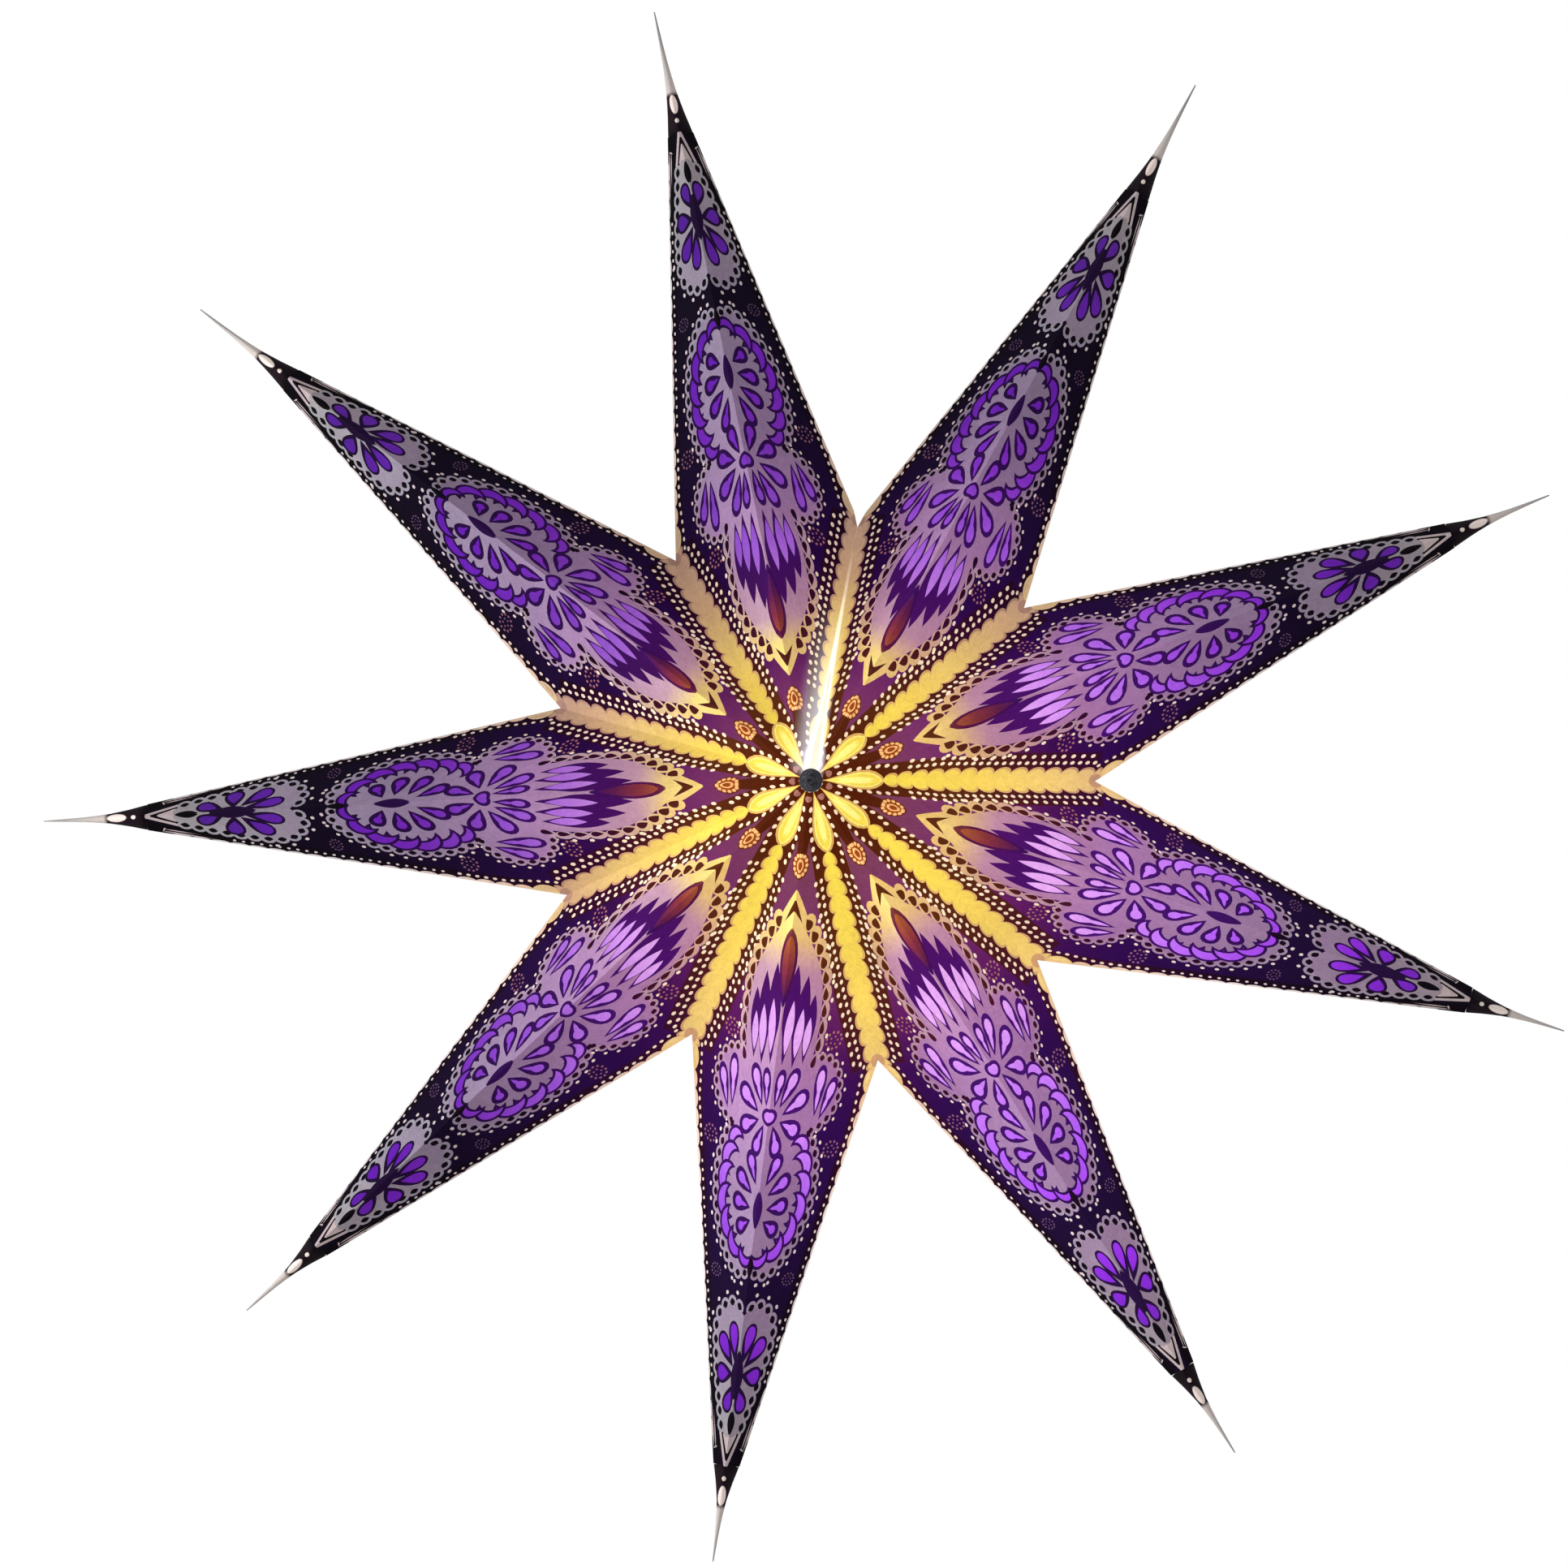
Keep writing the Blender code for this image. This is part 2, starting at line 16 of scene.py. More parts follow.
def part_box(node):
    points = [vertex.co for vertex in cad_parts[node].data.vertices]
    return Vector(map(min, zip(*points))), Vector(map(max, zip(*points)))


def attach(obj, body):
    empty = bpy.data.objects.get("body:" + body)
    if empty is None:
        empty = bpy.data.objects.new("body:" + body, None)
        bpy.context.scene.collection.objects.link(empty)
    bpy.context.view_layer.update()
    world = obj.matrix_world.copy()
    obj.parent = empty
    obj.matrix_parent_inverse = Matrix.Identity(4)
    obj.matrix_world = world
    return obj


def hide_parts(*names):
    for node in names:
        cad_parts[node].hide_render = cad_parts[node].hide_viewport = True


bl_info = {
    "name": "Folded Paper Star Lantern",
    "version": (1, 0, 0),
    "blender": (4, 5, 0),
    "location": "View3D > Sidebar > Star",
    "description": "Prints, lights and stages a folded paper star lantern",
    "category": "Object",
}

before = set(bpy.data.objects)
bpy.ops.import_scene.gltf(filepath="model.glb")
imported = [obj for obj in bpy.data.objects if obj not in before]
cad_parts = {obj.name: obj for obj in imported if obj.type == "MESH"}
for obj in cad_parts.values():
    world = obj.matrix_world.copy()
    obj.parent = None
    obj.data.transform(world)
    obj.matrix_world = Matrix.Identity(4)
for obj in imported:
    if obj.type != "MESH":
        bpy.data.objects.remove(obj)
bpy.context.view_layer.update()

MM = 0.001
POINT_COUNT = 9
OFFSETS = range(-(POINT_COUNT // 2), POINT_COUNT // 2 + 1)
HALF_STEP = math.pi / POINT_COUNT
HALF_DEPTH = 0.080
CREASE_RADIUS = 0.285
NOTCH_RADIUS = 0.1046
PAPER = 0.0003
FRONT = -1
BACK = 1
SIDE_NAMES = {FRONT: "front", BACK: "back"}
TURN_NAMES = {1: "ccw", -1: "cw"}

TIE_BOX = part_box("hub_tie_front")
STAR_CENTRE = Vector((0.0, 0.0, (TIE_BOX[0].z + TIE_BOX[1].z) / 2))

# The layout's corner where the valley and side creases meet, and the end of the side and ridge creases
RIDGE_DIRECTION = Vector((CREASE_RADIUS, HALF_DEPTH, 0.0)).normalized()
NOTCH_FROM_HUB = Vector((NOTCH_RADIUS * math.cos(HALF_STEP), HALF_DEPTH, NOTCH_RADIUS * math.sin(HALF_STEP)))
NOTCH_U = NOTCH_FROM_HUB.dot(RIDGE_DIRECTION)
NOTCH_UV = Vector((NOTCH_U, (NOTCH_FROM_HUB - RIDGE_DIRECTION * NOTCH_U).length)) / MM
END_UV = Vector((math.hypot(CREASE_RADIUS, HALF_DEPTH) / MM, 0.0))
VALLEY_ALONG = NOTCH_UV.normalized()
VALLEY_IN = Vector((VALLEY_ALONG.y, -VALLEY_ALONG.x))
EDGE_ALONG = (END_UV - NOTCH_UV).normalized()
EDGE_IN = Vector((EDGE_ALONG.y, -EDGE_ALONG.x))
ALONG_RIDGE = Vector((1.0, 0.0))
ACROSS_RIDGE = Vector((0.0, 1.0))


def linear(code):
    """Linear colour of a screen colour written as six hexadecimal digits."""
    parts = [int(code[place : place + 2], 16) / 255 for place in (0, 2, 4)]
    return [part / 12.92 if part <= 0.04045 else ((part + 0.055) / 1.055) ** 2.4 for part in parts]


class StarSizes(bpy.types.PropertyGroup):
    """Sizes of the printed ornament"""

    dot: bpy.props.FloatProperty(
        name="Dot", description="Radius of the pale dots",
        default=0.95 * MM, min=0.3 * MM, max=2.0 * MM, subtype="DISTANCE", precision=5,
    )
    lace_pitch: bpy.props.FloatProperty(
        name="Lace pitch", description="Distance between the scallops of the lace",
        default=5.4 * MM, min=3.0 * MM, max=12.0 * MM, subtype="DISTANCE", precision=5,
    )
    rim: bpy.props.FloatProperty(
        name="Window rim", description="Width of the dark rim round a lit window",
        default=2.2 * MM, min=0.3 * MM, max=4.0 * MM, subtype="DISTANCE", precision=5,
    )
    scallop_pitch: bpy.props.FloatProperty(
        name="Scallop pitch", description="Length of a scallop of the valley band, away from the hub",
        default=8.0 * MM, min=4.0 * MM, max=20.0 * MM, subtype="DISTANCE", precision=5,
    )


class StarColours(bpy.types.PropertyGroup):
    """Tints of the print, which are white for the print as designed, and colours of the rest"""

    dark_print: bpy.props.FloatVectorProperty(
        name="Dark print", description="Tint of the ground, the borders and the windows' rims",
        default=(1.0, 1.0, 1.0), min=0.0, max=1.0, subtype="COLOR",
    )
    bands: bpy.props.FloatVectorProperty(
        name="Valley bands", description="Tint of the petals and scallops along the valleys",
        default=(1.0, 1.0, 1.0), min=0.0, max=1.0, subtype="COLOR",
    )
    pale_print: bpy.props.FloatVectorProperty(
        name="Pale print", description="Tint of the lace, the fills and the dots",
        default=(1.0, 1.0, 1.0), min=0.0, max=1.0, subtype="COLOR",
    )
    windows: bpy.props.FloatVectorProperty(
        name="Windows", description="Tint of the lit windows and lenses",
        default=(1.0, 1.0, 1.0), min=0.0, max=1.0, subtype="COLOR",
    )
    bare_paper: bpy.props.FloatVectorProperty(
        name="Bare paper", description="Tint of the unprinted edges, the inside and the rolled tips",
        default=(1.0, 1.0, 1.0), min=0.0, max=1.0, subtype="COLOR",
    )
    thread: bpy.props.FloatVectorProperty(
        name="Thread", description="Colour of the ties, where their strands catch the light",
        default=linear("2c2c36"), min=0.0, max=1.0, subtype="COLOR",
    )
    holder: bpy.props.FloatVectorProperty(
        name="Holder", description="Colour of the lamp holder's cap",
        default=linear("e4e1d8"), min=0.0, max=1.0, subtype="COLOR",
    )
    lamp: bpy.props.FloatVectorProperty(
        name="Lamp", description="Colour of the opal globe's light",
        default=linear("fff0dc"), min=0.0, max=1.0, subtype="COLOR",
    )


class StarLight(bpy.types.PropertyGroup):
    """How the lamp lights the paper"""

    glow: bpy.props.FloatProperty(
        name="Glow", description="Brightness of the lit paper", default=1.0, min=0.0, max=4.0
    )
    inside: bpy.props.FloatProperty(
        name="Inside", description="Brightness of the paper's inner face", default=1.0, min=0.0, max=20.0
    )
    lamp: bpy.props.FloatProperty(
        name="Lamp", description="Brightness of the opal globe", default=1.0, min=0.0, max=50.0
    )
    centre: bpy.props.FloatVectorProperty(
        name="Brightest place",
        description="Place on the star's middle plane where the paper is brightest",
        default=(0.060, 0.0, -0.155),
        subtype="TRANSLATION",
        unit="LENGTH",
    )


class StarSettings(bpy.types.PropertyGroup):
    """Everything that a user of the lantern would change"""

    sizes: bpy.props.PointerProperty(type=StarSizes)
    colours: bpy.props.PointerProperty(type=StarColours)
    light: bpy.props.PointerProperty(type=StarLight)


def settings():
    """The lantern's settings in this scene."""
    return bpy.context.scene.paper_star


def in_layout(length):
    """A length of the settings in the layout's millimetres, without the rounding of a stored number."""
    return round(length / MM, 4)


# The frame's facets


def radial(angle):
    """Direction outwards from the star's centre."""
    return Vector((math.cos(angle), 0.0, math.sin(angle)))


def point_angle(offset):
    """Angle of a point, whose offset counts from the lowest one, both ways round."""
    return 2 * HALF_STEP * offset - math.pi / 2


def point_number(offset):
    """The CAD's number of a point."""
    return POINT_COUNT // 2 + 1 - offset


def facet_name(side, offset, turn):
    """The CAD's name of a facet."""
    return f"{SIDE_NAMES[side]}_facet_{point_number(offset)}_{TURN_NAMES[turn]}"


def facet_frame(side, offset, turn):
    """Matrix from a facet's layout, in metres, to the row frame: u, v and the paper's outward normal."""
    hub = STAR_CENTRE + Vector((0.0, side * HALF_DEPTH, 0.0))
    end = STAR_CENTRE + radial(point_angle(offset)) * CREASE_RADIUS
    notch = STAR_CENTRE + radial(point_angle(offset) + turn * HALF_STEP) * NOTCH_RADIUS
    along = (end - hub).normalized()
    across = ((notch - hub) - along * (notch - hub).dot(along)).normalized()
    normal = along.cross(across)
    if normal.dot(hub - STAR_CENTRE) < 0:
        normal = -normal
    rows = Matrix((along, across, normal)).transposed().to_4x4()
    return Matrix.Translation(hub) @ rows


def is_seam(offset, turn):
    """Whether a facet lies at the open seam between the two top points."""
    return abs(offset) == POINT_COUNT // 2 and turn * offset > 0


# Shapes of the ornament, as closed outlines in the layout


def uv(u, v):
    """Place along the ridge crease and across from it."""
    return Vector((u, v))


def from_valley(along, inwards):
    """Place along the valley crease from the hub, and inwards from it."""
    return VALLEY_ALONG * along + VALLEY_IN * inwards


def from_edge(along, inwards):
    """Place along the side crease from the notch, and inwards from it."""
    return NOTCH_UV + EDGE_ALONG * along + EDGE_IN * inwards


def left_of(direction):
    """The direction a quarter turn to the left."""
    return Vector((-direction.y, direction.x))


def ellipse(centre, long_radius, short_radius, along=ALONG_RIDGE, steps=12):
    """An ellipse whose first radius lies along a direction."""
    side = left_of(along)
    return [
        centre + along * long_radius * math.cos(turn) + side * short_radius * math.sin(turn)
        for turn in (2 * math.pi * step / steps for step in range(steps))
    ]


# How blunt a leaf's ends are and how slim a drop's stalk is, as powers, and how full a drop is for its width
LEAF_BLUNTNESS = 0.9
DROP_SLIMNESS = 1.2
DROP_FULLNESS = 1.1


def leaf(start, end, width, fullness=0.5, steps=9):
    """Pointed at both ends, widest at a share of its length."""
    along = end - start
    side = left_of(along).normalized() * width / 2
    bend = math.log(0.5) / math.log(fullness)
    edge = []
    for step in range(1, steps):
        edge.append((step / steps, math.sin(math.pi * (step / steps) ** bend) ** LEAF_BLUNTNESS))
    there = [start + along * share + side * swell for share, swell in edge]
    back = [start + along * share - side * swell for share, swell in reversed(edge)]
    return [start, *there, end, *back]


def drop(start, end, width, steps=9):
    """Pointed at its start and round at its end."""
    along = end - start
    side = left_of(along).normalized() * width / 2
    outline = []
    for step in range(2 * steps):
        turn = math.pi * step / steps
        reach = (1 - math.cos(turn)) / 2
        stalk = math.sin(turn / 2) ** DROP_SLIMNESS
        outline.append(start + along * reach + side * math.sin(turn) * stalk * DROP_FULLNESS)
    return outline


def smooth_path(corners, steps=6):
    """Catmull-Rom curve through the corners."""
    ends = [corners[0] * 2 - corners[1], *corners, corners[-1] * 2 - corners[-2]]
    path = []
    for before, first, second, after in zip(ends, ends[1:], ends[2:], ends[3:]):
        for step in range(steps):
            share = step / steps
            path.append(
                (
                    first * 2
                    + (second - before) * share
                    + (before * 2 - first * 5 + second * 4 - after) * share**2
                    + (first * 3 - before - second * 3 + after) * share**3
                )
                / 2
            )
    return [*path, corners[-1]]


def stations(path, pitch, start=0.5):
    """Evenly spaced places on a path, each with its direction; the start is a share of the spacing."""
    lengths = [(b - a).length for a, b in zip(path, path[1:])]
    count = max(1, round(sum(lengths) / pitch))
    spacing = sum(lengths) / count
    found = []
    travelled = 0.0
    wanted = spacing * start
    for (a, b), length in zip(zip(path, path[1:]), lengths):
        while wanted <= travelled + length and len(found) < count:
            found.append((a + (b - a) * ((wanted - travelled) / length), (b - a).normalized()))
            wanted += spacing
        travelled += length
    return found


# The print: a list of (outline, ink), painted in order


def dots(path, pitch, radius):
    """A row of dots, a little longer than wide."""
    return [
        (ellipse(place, radius * 1.1, radius, direction, steps=8), "cream")
        for place, direction in stations(path, pitch)
    ]


# How many rims' widths from the centre each corner of a window counts as at least, so that it stays open
LEAST_REACH = 1.22

# The share of a petal that is its dark stalk, and its rim at the round end and on both sides together
PETAL_STALK = 0.27
PETAL_RIM = (0.55, 1.3)

# A scale-shaped window's bite: how far in it lies and its radius, as shares of the disc's radius; and its rim
# on the outer and the inner side
SCALE_BITE = (0.82, 0.86)
SCALE_RIM = (0.60, 0.52)

# The sides of a crescent's outer and inner edge
OUTER_SIDES = 12
INNER_SIDES = 8


def window(outline, rim):
    """A lit window with its dark rim: the outline is the rim's, and the window is drawn in from it."""
    centre = sum(outline, Vector((0.0, 0.0))) / len(outline)
    core = []
    for point in outline:
        reach = point - centre
        core.append(point - reach * (rim / max(reach.length, rim * LEAST_REACH)))
    return [(outline, "rim"), (core, "window")]


def petal(start, end, width, rim):
    """A lit drop in its dark rim, at the end of a dark stalk."""
    reach = end - start
    at_end, at_sides = PETAL_RIM
    core_end = end - reach.normalized() * rim * at_end
    core = drop(start + reach * PETAL_STALK, core_end, width - rim * at_sides)
    return [(drop(start, end, width), "rim"), (core, "window")]


def crescent(centre, outwards, radius, bite, bite_radius):
    """A disc with a round bite out of its inner side; the bite's centre is that far in from the disc's."""
    across = (bite_radius**2 - radius**2 - bite**2) / (2 * bite)
    corner = math.sqrt(max(radius**2 - across**2, 0.0))
    half_outer = math.atan2(corner, across)
    half_inner = math.atan2(corner, across + bite)
    side = left_of(outwards)
    outline = []
    for step in range(OUTER_SIDES + 1):
        turn = half_outer * (step / (OUTER_SIDES / 2) - 1)
        outline.append(centre + outwards * radius * math.cos(turn) + side * radius * math.sin(turn))
    for step in range(1, INNER_SIDES):
        turn = half_inner * (1 - step / (INNER_SIDES / 2))
        reach = outwards * (bite_radius * math.cos(turn) - bite) + side * bite_radius * math.sin(turn)
        outline.append(centre + reach)
    return outline


def lit_scale(centre, outwards, size, rim):
    """A lit crescent in its dark rim."""
    bite, bite_radius = (size * share for share in SCALE_BITE)
    outer_rim, inner_rim = (rim * share for share in SCALE_RIM)
    whole = crescent(centre, outwards, size, bite, bite_radius)
    core = crescent(centre, outwards, size - outer_rim, bite, bite_radius + inner_rim)
    return [(whole, "rim"), (core, "window")]


class Medallion:
    """Half of a medallion: its lace border, the fill inside it and what is drawn on the fill."""

    # Shares of the pitch: how far out from the path each thing lies, then its half length and half height,
    # or for the holes their length and height, and how far out the fill ends
    LOOP = (0.06, 0.56, 0.48)
    BEAD = (0.78, 0.18, 0.15)
    HOLE = (0.04, 0.72, 0.54)
    FILL = -0.10

    def __init__(self, corners, pitch, closing, beads_until=math.inf):
        self.path = smooth_path(corners)
        self.pitch = pitch
        self.closing = closing
        self.beads_until = beads_until
        self.details = []

    def offset(self, share):
        """The path moved outwards by a share of the pitch."""
        shifted = []
        for index, point in enumerate(self.path):
            before = self.path[max(0, index - 1)]
            after = self.path[min(len(self.path) - 1, index + 1)]
            shifted.append(point + left_of((after - before).normalized()) * self.pitch * share)
        return shifted

    def border(self):
        shapes = []
        out, length, height = (share * self.pitch for share in self.LOOP)
        for place, direction in stations(self.path, self.pitch):
            middle = place + left_of(direction) * out
            shapes.append((ellipse(middle, length, height, direction), "lace"))
        out, length, height = (share * self.pitch for share in self.BEAD)
        for place, direction in stations(self.path, self.pitch, start=1.0):
            middle = place + left_of(direction) * out
            if middle.x < self.beads_until:
                shapes.append((ellipse(middle, length, height, direction, steps=8), "cream"))
        return shapes

    def fill(self):
        return [(self.offset(self.FILL) + self.closing, "lilac")]

    def holes(self):
        shapes = []
        out, length, height = (share * self.pitch for share in self.HOLE)
        for place, direction in stations(self.path, self.pitch):
            middle = place + left_of(direction) * out
            shapes.append((leaf_about(middle, direction, length, height), "edging"))
        return shapes


def leaf_about(middle, direction, length, width):
    """A leaf with its middle at a place."""
    return leaf(middle - direction * length / 2, middle + direction * length / 2, width, steps=5)


def ground():
    """The dark borders beside the valley crease and the side crease, and near the hub a dark wedge beside the
    ridge: painted shade of the fold.
    """
    near = [from_valley(0, -2), from_valley(134, -2), from_valley(128, 15.0), from_valley(90, 14.5)]
    near += [from_valley(60, 12.5), from_valley(40, 10.0), from_valley(20, 8.0), from_valley(4, 4.0)]
    side = [from_edge(-6, -2), from_edge(200, -2)]
    side += [from_edge(200, 5.0), from_edge(30, 5.4), from_edge(-6, 8.0)]
    # Painted shade: the dark wedge beside the ridge near the hub stands in for the fold's shadow, in the
    # edging ink
    ridge = [uv(0, -1), uv(40, -1), uv(33, 2.0), uv(20, 3.8), uv(6, 3.6)]
    return [(near, "edging"), (side, "edging"), (ridge, "edging")]


# Outlines of one scallop, as shares of its length and of its height
BEAD_PROFILE = (
    (0.0, 0.0), (0.07, 0.44), (0.19, 0.78), (0.36, 0.98),
    (0.54, 1.04), (0.72, 0.94), (0.88, 0.64), (1.0, 0.1),
)
SHALLOW_PROFILE = (
    (0.0, 0.25), (0.08, 0.55), (0.22, 0.84), (0.40, 0.98),
    (0.60, 0.98), (0.78, 0.84), (0.92, 0.55), (1.0, 0.25),
)

# The valley band's scallops: where they start and stop, and how fast they grow to their full length and width
BAND_START = 32.6
BAND_END = 133.0
LAST_SCALLOP = 130.0
GROWTH_START = 29.0
GROWTH_LENGTH = 17.0

# What a scallop of the band has before it grows and what it gains: its length as a share of the pitch, its
# width, and its cusp as a share of the width
BAND_LENGTH = (0.66, 0.34)
BAND_WIDTH = (3.3, 4.1)
BAND_CUSP = (0.50, 0.16)

# The bare paper's scallops along the side crease: their number, where the first starts, how long each is, the
# depth that all have and what the first has more, and over how many this fades
SIDE_COUNT = 19
SIDE_START = 13.6
SIDE_PITCH = 7.4
SIDE_DEPTH = (1.05, 1.35)
SIDE_FADES = 5


def scallop(start, length, width, cusp):
    """A scallop of the valley band: a round bead that steps in to a cusp, which is a share of its width."""
    swell = 1 - cusp
    edge = [
        from_valley(start + length * along, width * (cusp + swell * out)) for along, out in BEAD_PROFILE
    ]
    return [from_valley(start, -1), *edge, from_valley(start + length, -1)]


def side_scallop(start, length, depth):
    """A shallow scallop of the side crease."""
    edge = [from_edge(start + length * along, depth * out) for along, out in SHALLOW_PROFILE]
    return [from_edge(start, -1), *edge, from_edge(start + length, -1)]


def valley_lobes(pitch):
    """Start, length, width and cusp of each scallop of the valley band."""
    lobes = []
    start = BAND_START
    while start < LAST_SCALLOP:
        grown = 1 - math.exp(-(start - GROWTH_START) / GROWTH_LENGTH)
        share, width, cusp = (least + gain * grown for least, gain in (BAND_LENGTH, BAND_WIDTH, BAND_CUSP))
        length = pitch * share
        lobes.append((start, min(length, BAND_END - start), width, cusp))
        start += length
    return lobes


def valley_band(pitch):
    """Yellow petal and growing scallops along the valley crease, ending in a lobe past the notch; a paler
    ring in the petal, a bright line beside the crease and the lobe's pale core are painted highlights.
    """
    shapes = [
        (leaf(from_valley(3.5, 0), from_valley(34.0, 0), 11.2, fullness=0.62), "band_edge"),
        (leaf(from_valley(5.0, 0), from_valley(32.8, 0), 8.8, fullness=0.63), "band_light"),
        (leaf(from_valley(5.8, 0), from_valley(32.2, 0), 7.6, fullness=0.64), "band"),
        # Painted highlight: a bright line beside the crease in the petal
        (leaf(from_valley(8.5, 1.0), from_valley(28.5, 0.9), 2.2, fullness=0.62), "band_light"),
    ]
    lobes = valley_lobes(pitch)
    shapes += [(scallop(*lobe), "band_edge") for lobe in lobes]
    for start, length, width, cusp in lobes:
        shapes.append((scallop(start + 0.1, length - 0.5, width - 1.1, cusp), "band"))
    spine = [(32.6, 1.2), (44, 2.2), (60, 3.3), (100, 4.2), (131, 4.2), (131, -1), (32.6, -1)]
    shapes.append(([from_valley(along, inwards) for along, inwards in spine], "band"))
    shapes += [(side_scallop(-2.0, 5.4, 4.4), "band_edge"), (side_scallop(3.2, 10.6, 4.5), "lobe")]
    # Painted highlight: the lobe's pale core
    shapes.append((leaf(from_edge(5.0, 2.5), from_edge(11.5, 2.5), 2.0), "band_light"))
    return shapes


def side_scallops():
    """Bare paper along the side crease, in scallops that grow shallower toward the tip."""
    least, more = SIDE_DEPTH
    shapes = []
    for step in range(SIDE_COUNT):
        depth = least + more * math.exp(-step / SIDE_FADES)
        shapes.append((side_scallop(SIDE_START + SIDE_PITCH * step, SIDE_PITCH, depth), "bare_edge"))
    return shapes


def border_dots(size):
    """Rows of dots from the hub past the petal and beside the band, and along the side crease."""
    beside_petal = [uv(9.5, 1.7), uv(15, 2.1), uv(20.5, 3.7), from_valley(30, 7.8), from_valley(37, 6.7)]
    beside_band = [from_valley(40, 6.9), from_valley(56, 8.8), from_valley(129, 9.8)]
    second_row = [from_valley(39, 10.0), from_valley(56, 11.6), from_valley(127, 13.2)]
    past_notch = [from_edge(3, 7.4), from_edge(13, 6.0), from_edge(24, 3.4), from_edge(44, 3.2)]
    to_tip = [from_edge(47, 3.1), from_edge(90, 2.8), from_edge(132, 2.3)]
    shapes = [(ellipse(uv(7.4, 0), size * 1.25, size * 1.9), "rosette")]
    for row, pitch, share in (
        (beside_petal, 4.0, 1.1),
        (beside_band, 3.6, 1.0),
        (second_row, 4.6, 1.05),
        (past_notch, 3.4, 0.85),
        (to_tip, 3.5, 0.66),
    ):
        shapes += dots(row, pitch, size * share)
    return shapes


def amber_drop():
    """Beaded drop on the ridge near the hub."""
    centre = uv(33, 0)
    shapes = [(ellipse(centre, 5.2, 5.0, steps=18), "edging")]
    shapes.append((ellipse(centre, 4.8, 4.5, steps=16), "amber_dark"))
    shapes += [(ellipse(place, 0.78, 0.95, steps=8), "amber") for place in ellipse(centre, 3.9, 3.6)]
    shapes.append((leaf(uv(30.2, 0), uv(35.8, 0), 3.4), "amber"))
    shapes.append((leaf(uv(31.2, 0), uv(34.8, 0), 1.8), "amber_dark"))
    return shapes


def small_rosette(centre, size):
    """Two rings of small dots, wider across the point than along it, so that they look round on the slant."""
    shapes = []
    for share, count, dot in ((1.0, 11, 0.21), (0.46, 5, 0.16)):
        ring = ellipse(centre, size * 1.35 * share, size * 0.95 * share, ACROSS_RIDGE, steps=count)
        for place in ring:
            shapes.append((ellipse(place, size * dot, size * dot * 0.85, ACROSS_RIDGE, steps=6), "rosette"))
    return shapes


def chevron():
    """The bud's outer point: two slim bright arms with a dark gap inside them."""
    arms = [uv(42.3, 0), uv(47, 3.6), uv(51.8, 6.9), uv(58, 10.6), uv(58, -1), uv(42.3, -1)]
    gap = [uv(46.2, 0), uv(50.4, 2.5), uv(55.0, 4.9), uv(60, 7.4), uv(60, -1), uv(46.2, -1)]
    return [(arms, "lace"), (gap, "edging")]


class Bud(Medallion):
    """Half of the pointed bud: its lace stands off from the fill in long loops, taller toward the hub."""

    # Shares of the pitch: how far out the loops, their holes and the fill lie
    LOOPS_OUT = 0.46
    HOLES_OUT = 0.36
    FILL = 0.10

    # A loop's half length and half height, its hole's half length and whole height, and a bead's half length
    # and half width: the two heights as shares of the loop's height, and all else as shares of the pitch
    LOOP_SIZE = (0.58, 0.38)
    HOLE_SIZE = (0.41, 0.54)
    BEAD_SIZE = (0.16, 0.14)

    # How far a taller loop and its hole move out, as shares of what it has grown, and how far out a bead
    # lies: a share of the loop's height, less a share of the pitch
    LOOP_MOVES = 0.32
    HOLE_MOVES = 0.30
    BEADS_OUT = (0.70, 0.22)

    # Where the loops begin to grow toward the hub, in what distance they are full grown, and by how much
    GROWING_FROM = 95
    GROWING_OVER = 30
    GROWTH = 0.45

    def loop_height(self, place):
        grown = min(1.0, max(0.0, (self.GROWING_FROM - place.x) / self.GROWING_OVER))
        return self.pitch * (1 + self.GROWTH * grown)

    def border(self):
        line = self.offset(self.LOOPS_OUT)
        shapes = []
        for place, direction in stations(line, self.pitch):
            height = self.loop_height(place)
            middle = place + left_of(direction) * (height - self.pitch) * self.LOOP_MOVES
            length, share = self.LOOP_SIZE
            shapes.append((ellipse(middle, self.pitch * length, height * share, direction), "lace"))
        for place, direction in stations(line, self.pitch, start=1.0):
            out = self.loop_height(place) * self.BEADS_OUT[0] - self.pitch * self.BEADS_OUT[1]
            middle = place + left_of(direction) * out
            length, width = (share * self.pitch for share in self.BEAD_SIZE)
            shapes.append((ellipse(middle, length, width, direction, steps=8), "cream"))
        return shapes

    def holes(self):
        shapes = []
        for place, direction in stations(self.offset(self.HOLES_OUT), self.pitch):
            height = self.loop_height(place)
            middle = place + left_of(direction) * (height - self.pitch) * self.HOLE_MOVES
            reach = direction * self.pitch * self.HOLE_SIZE[0]
            shapes.append((drop(middle - reach, middle + reach, height * self.HOLE_SIZE[1]), "edging"))
        return shapes


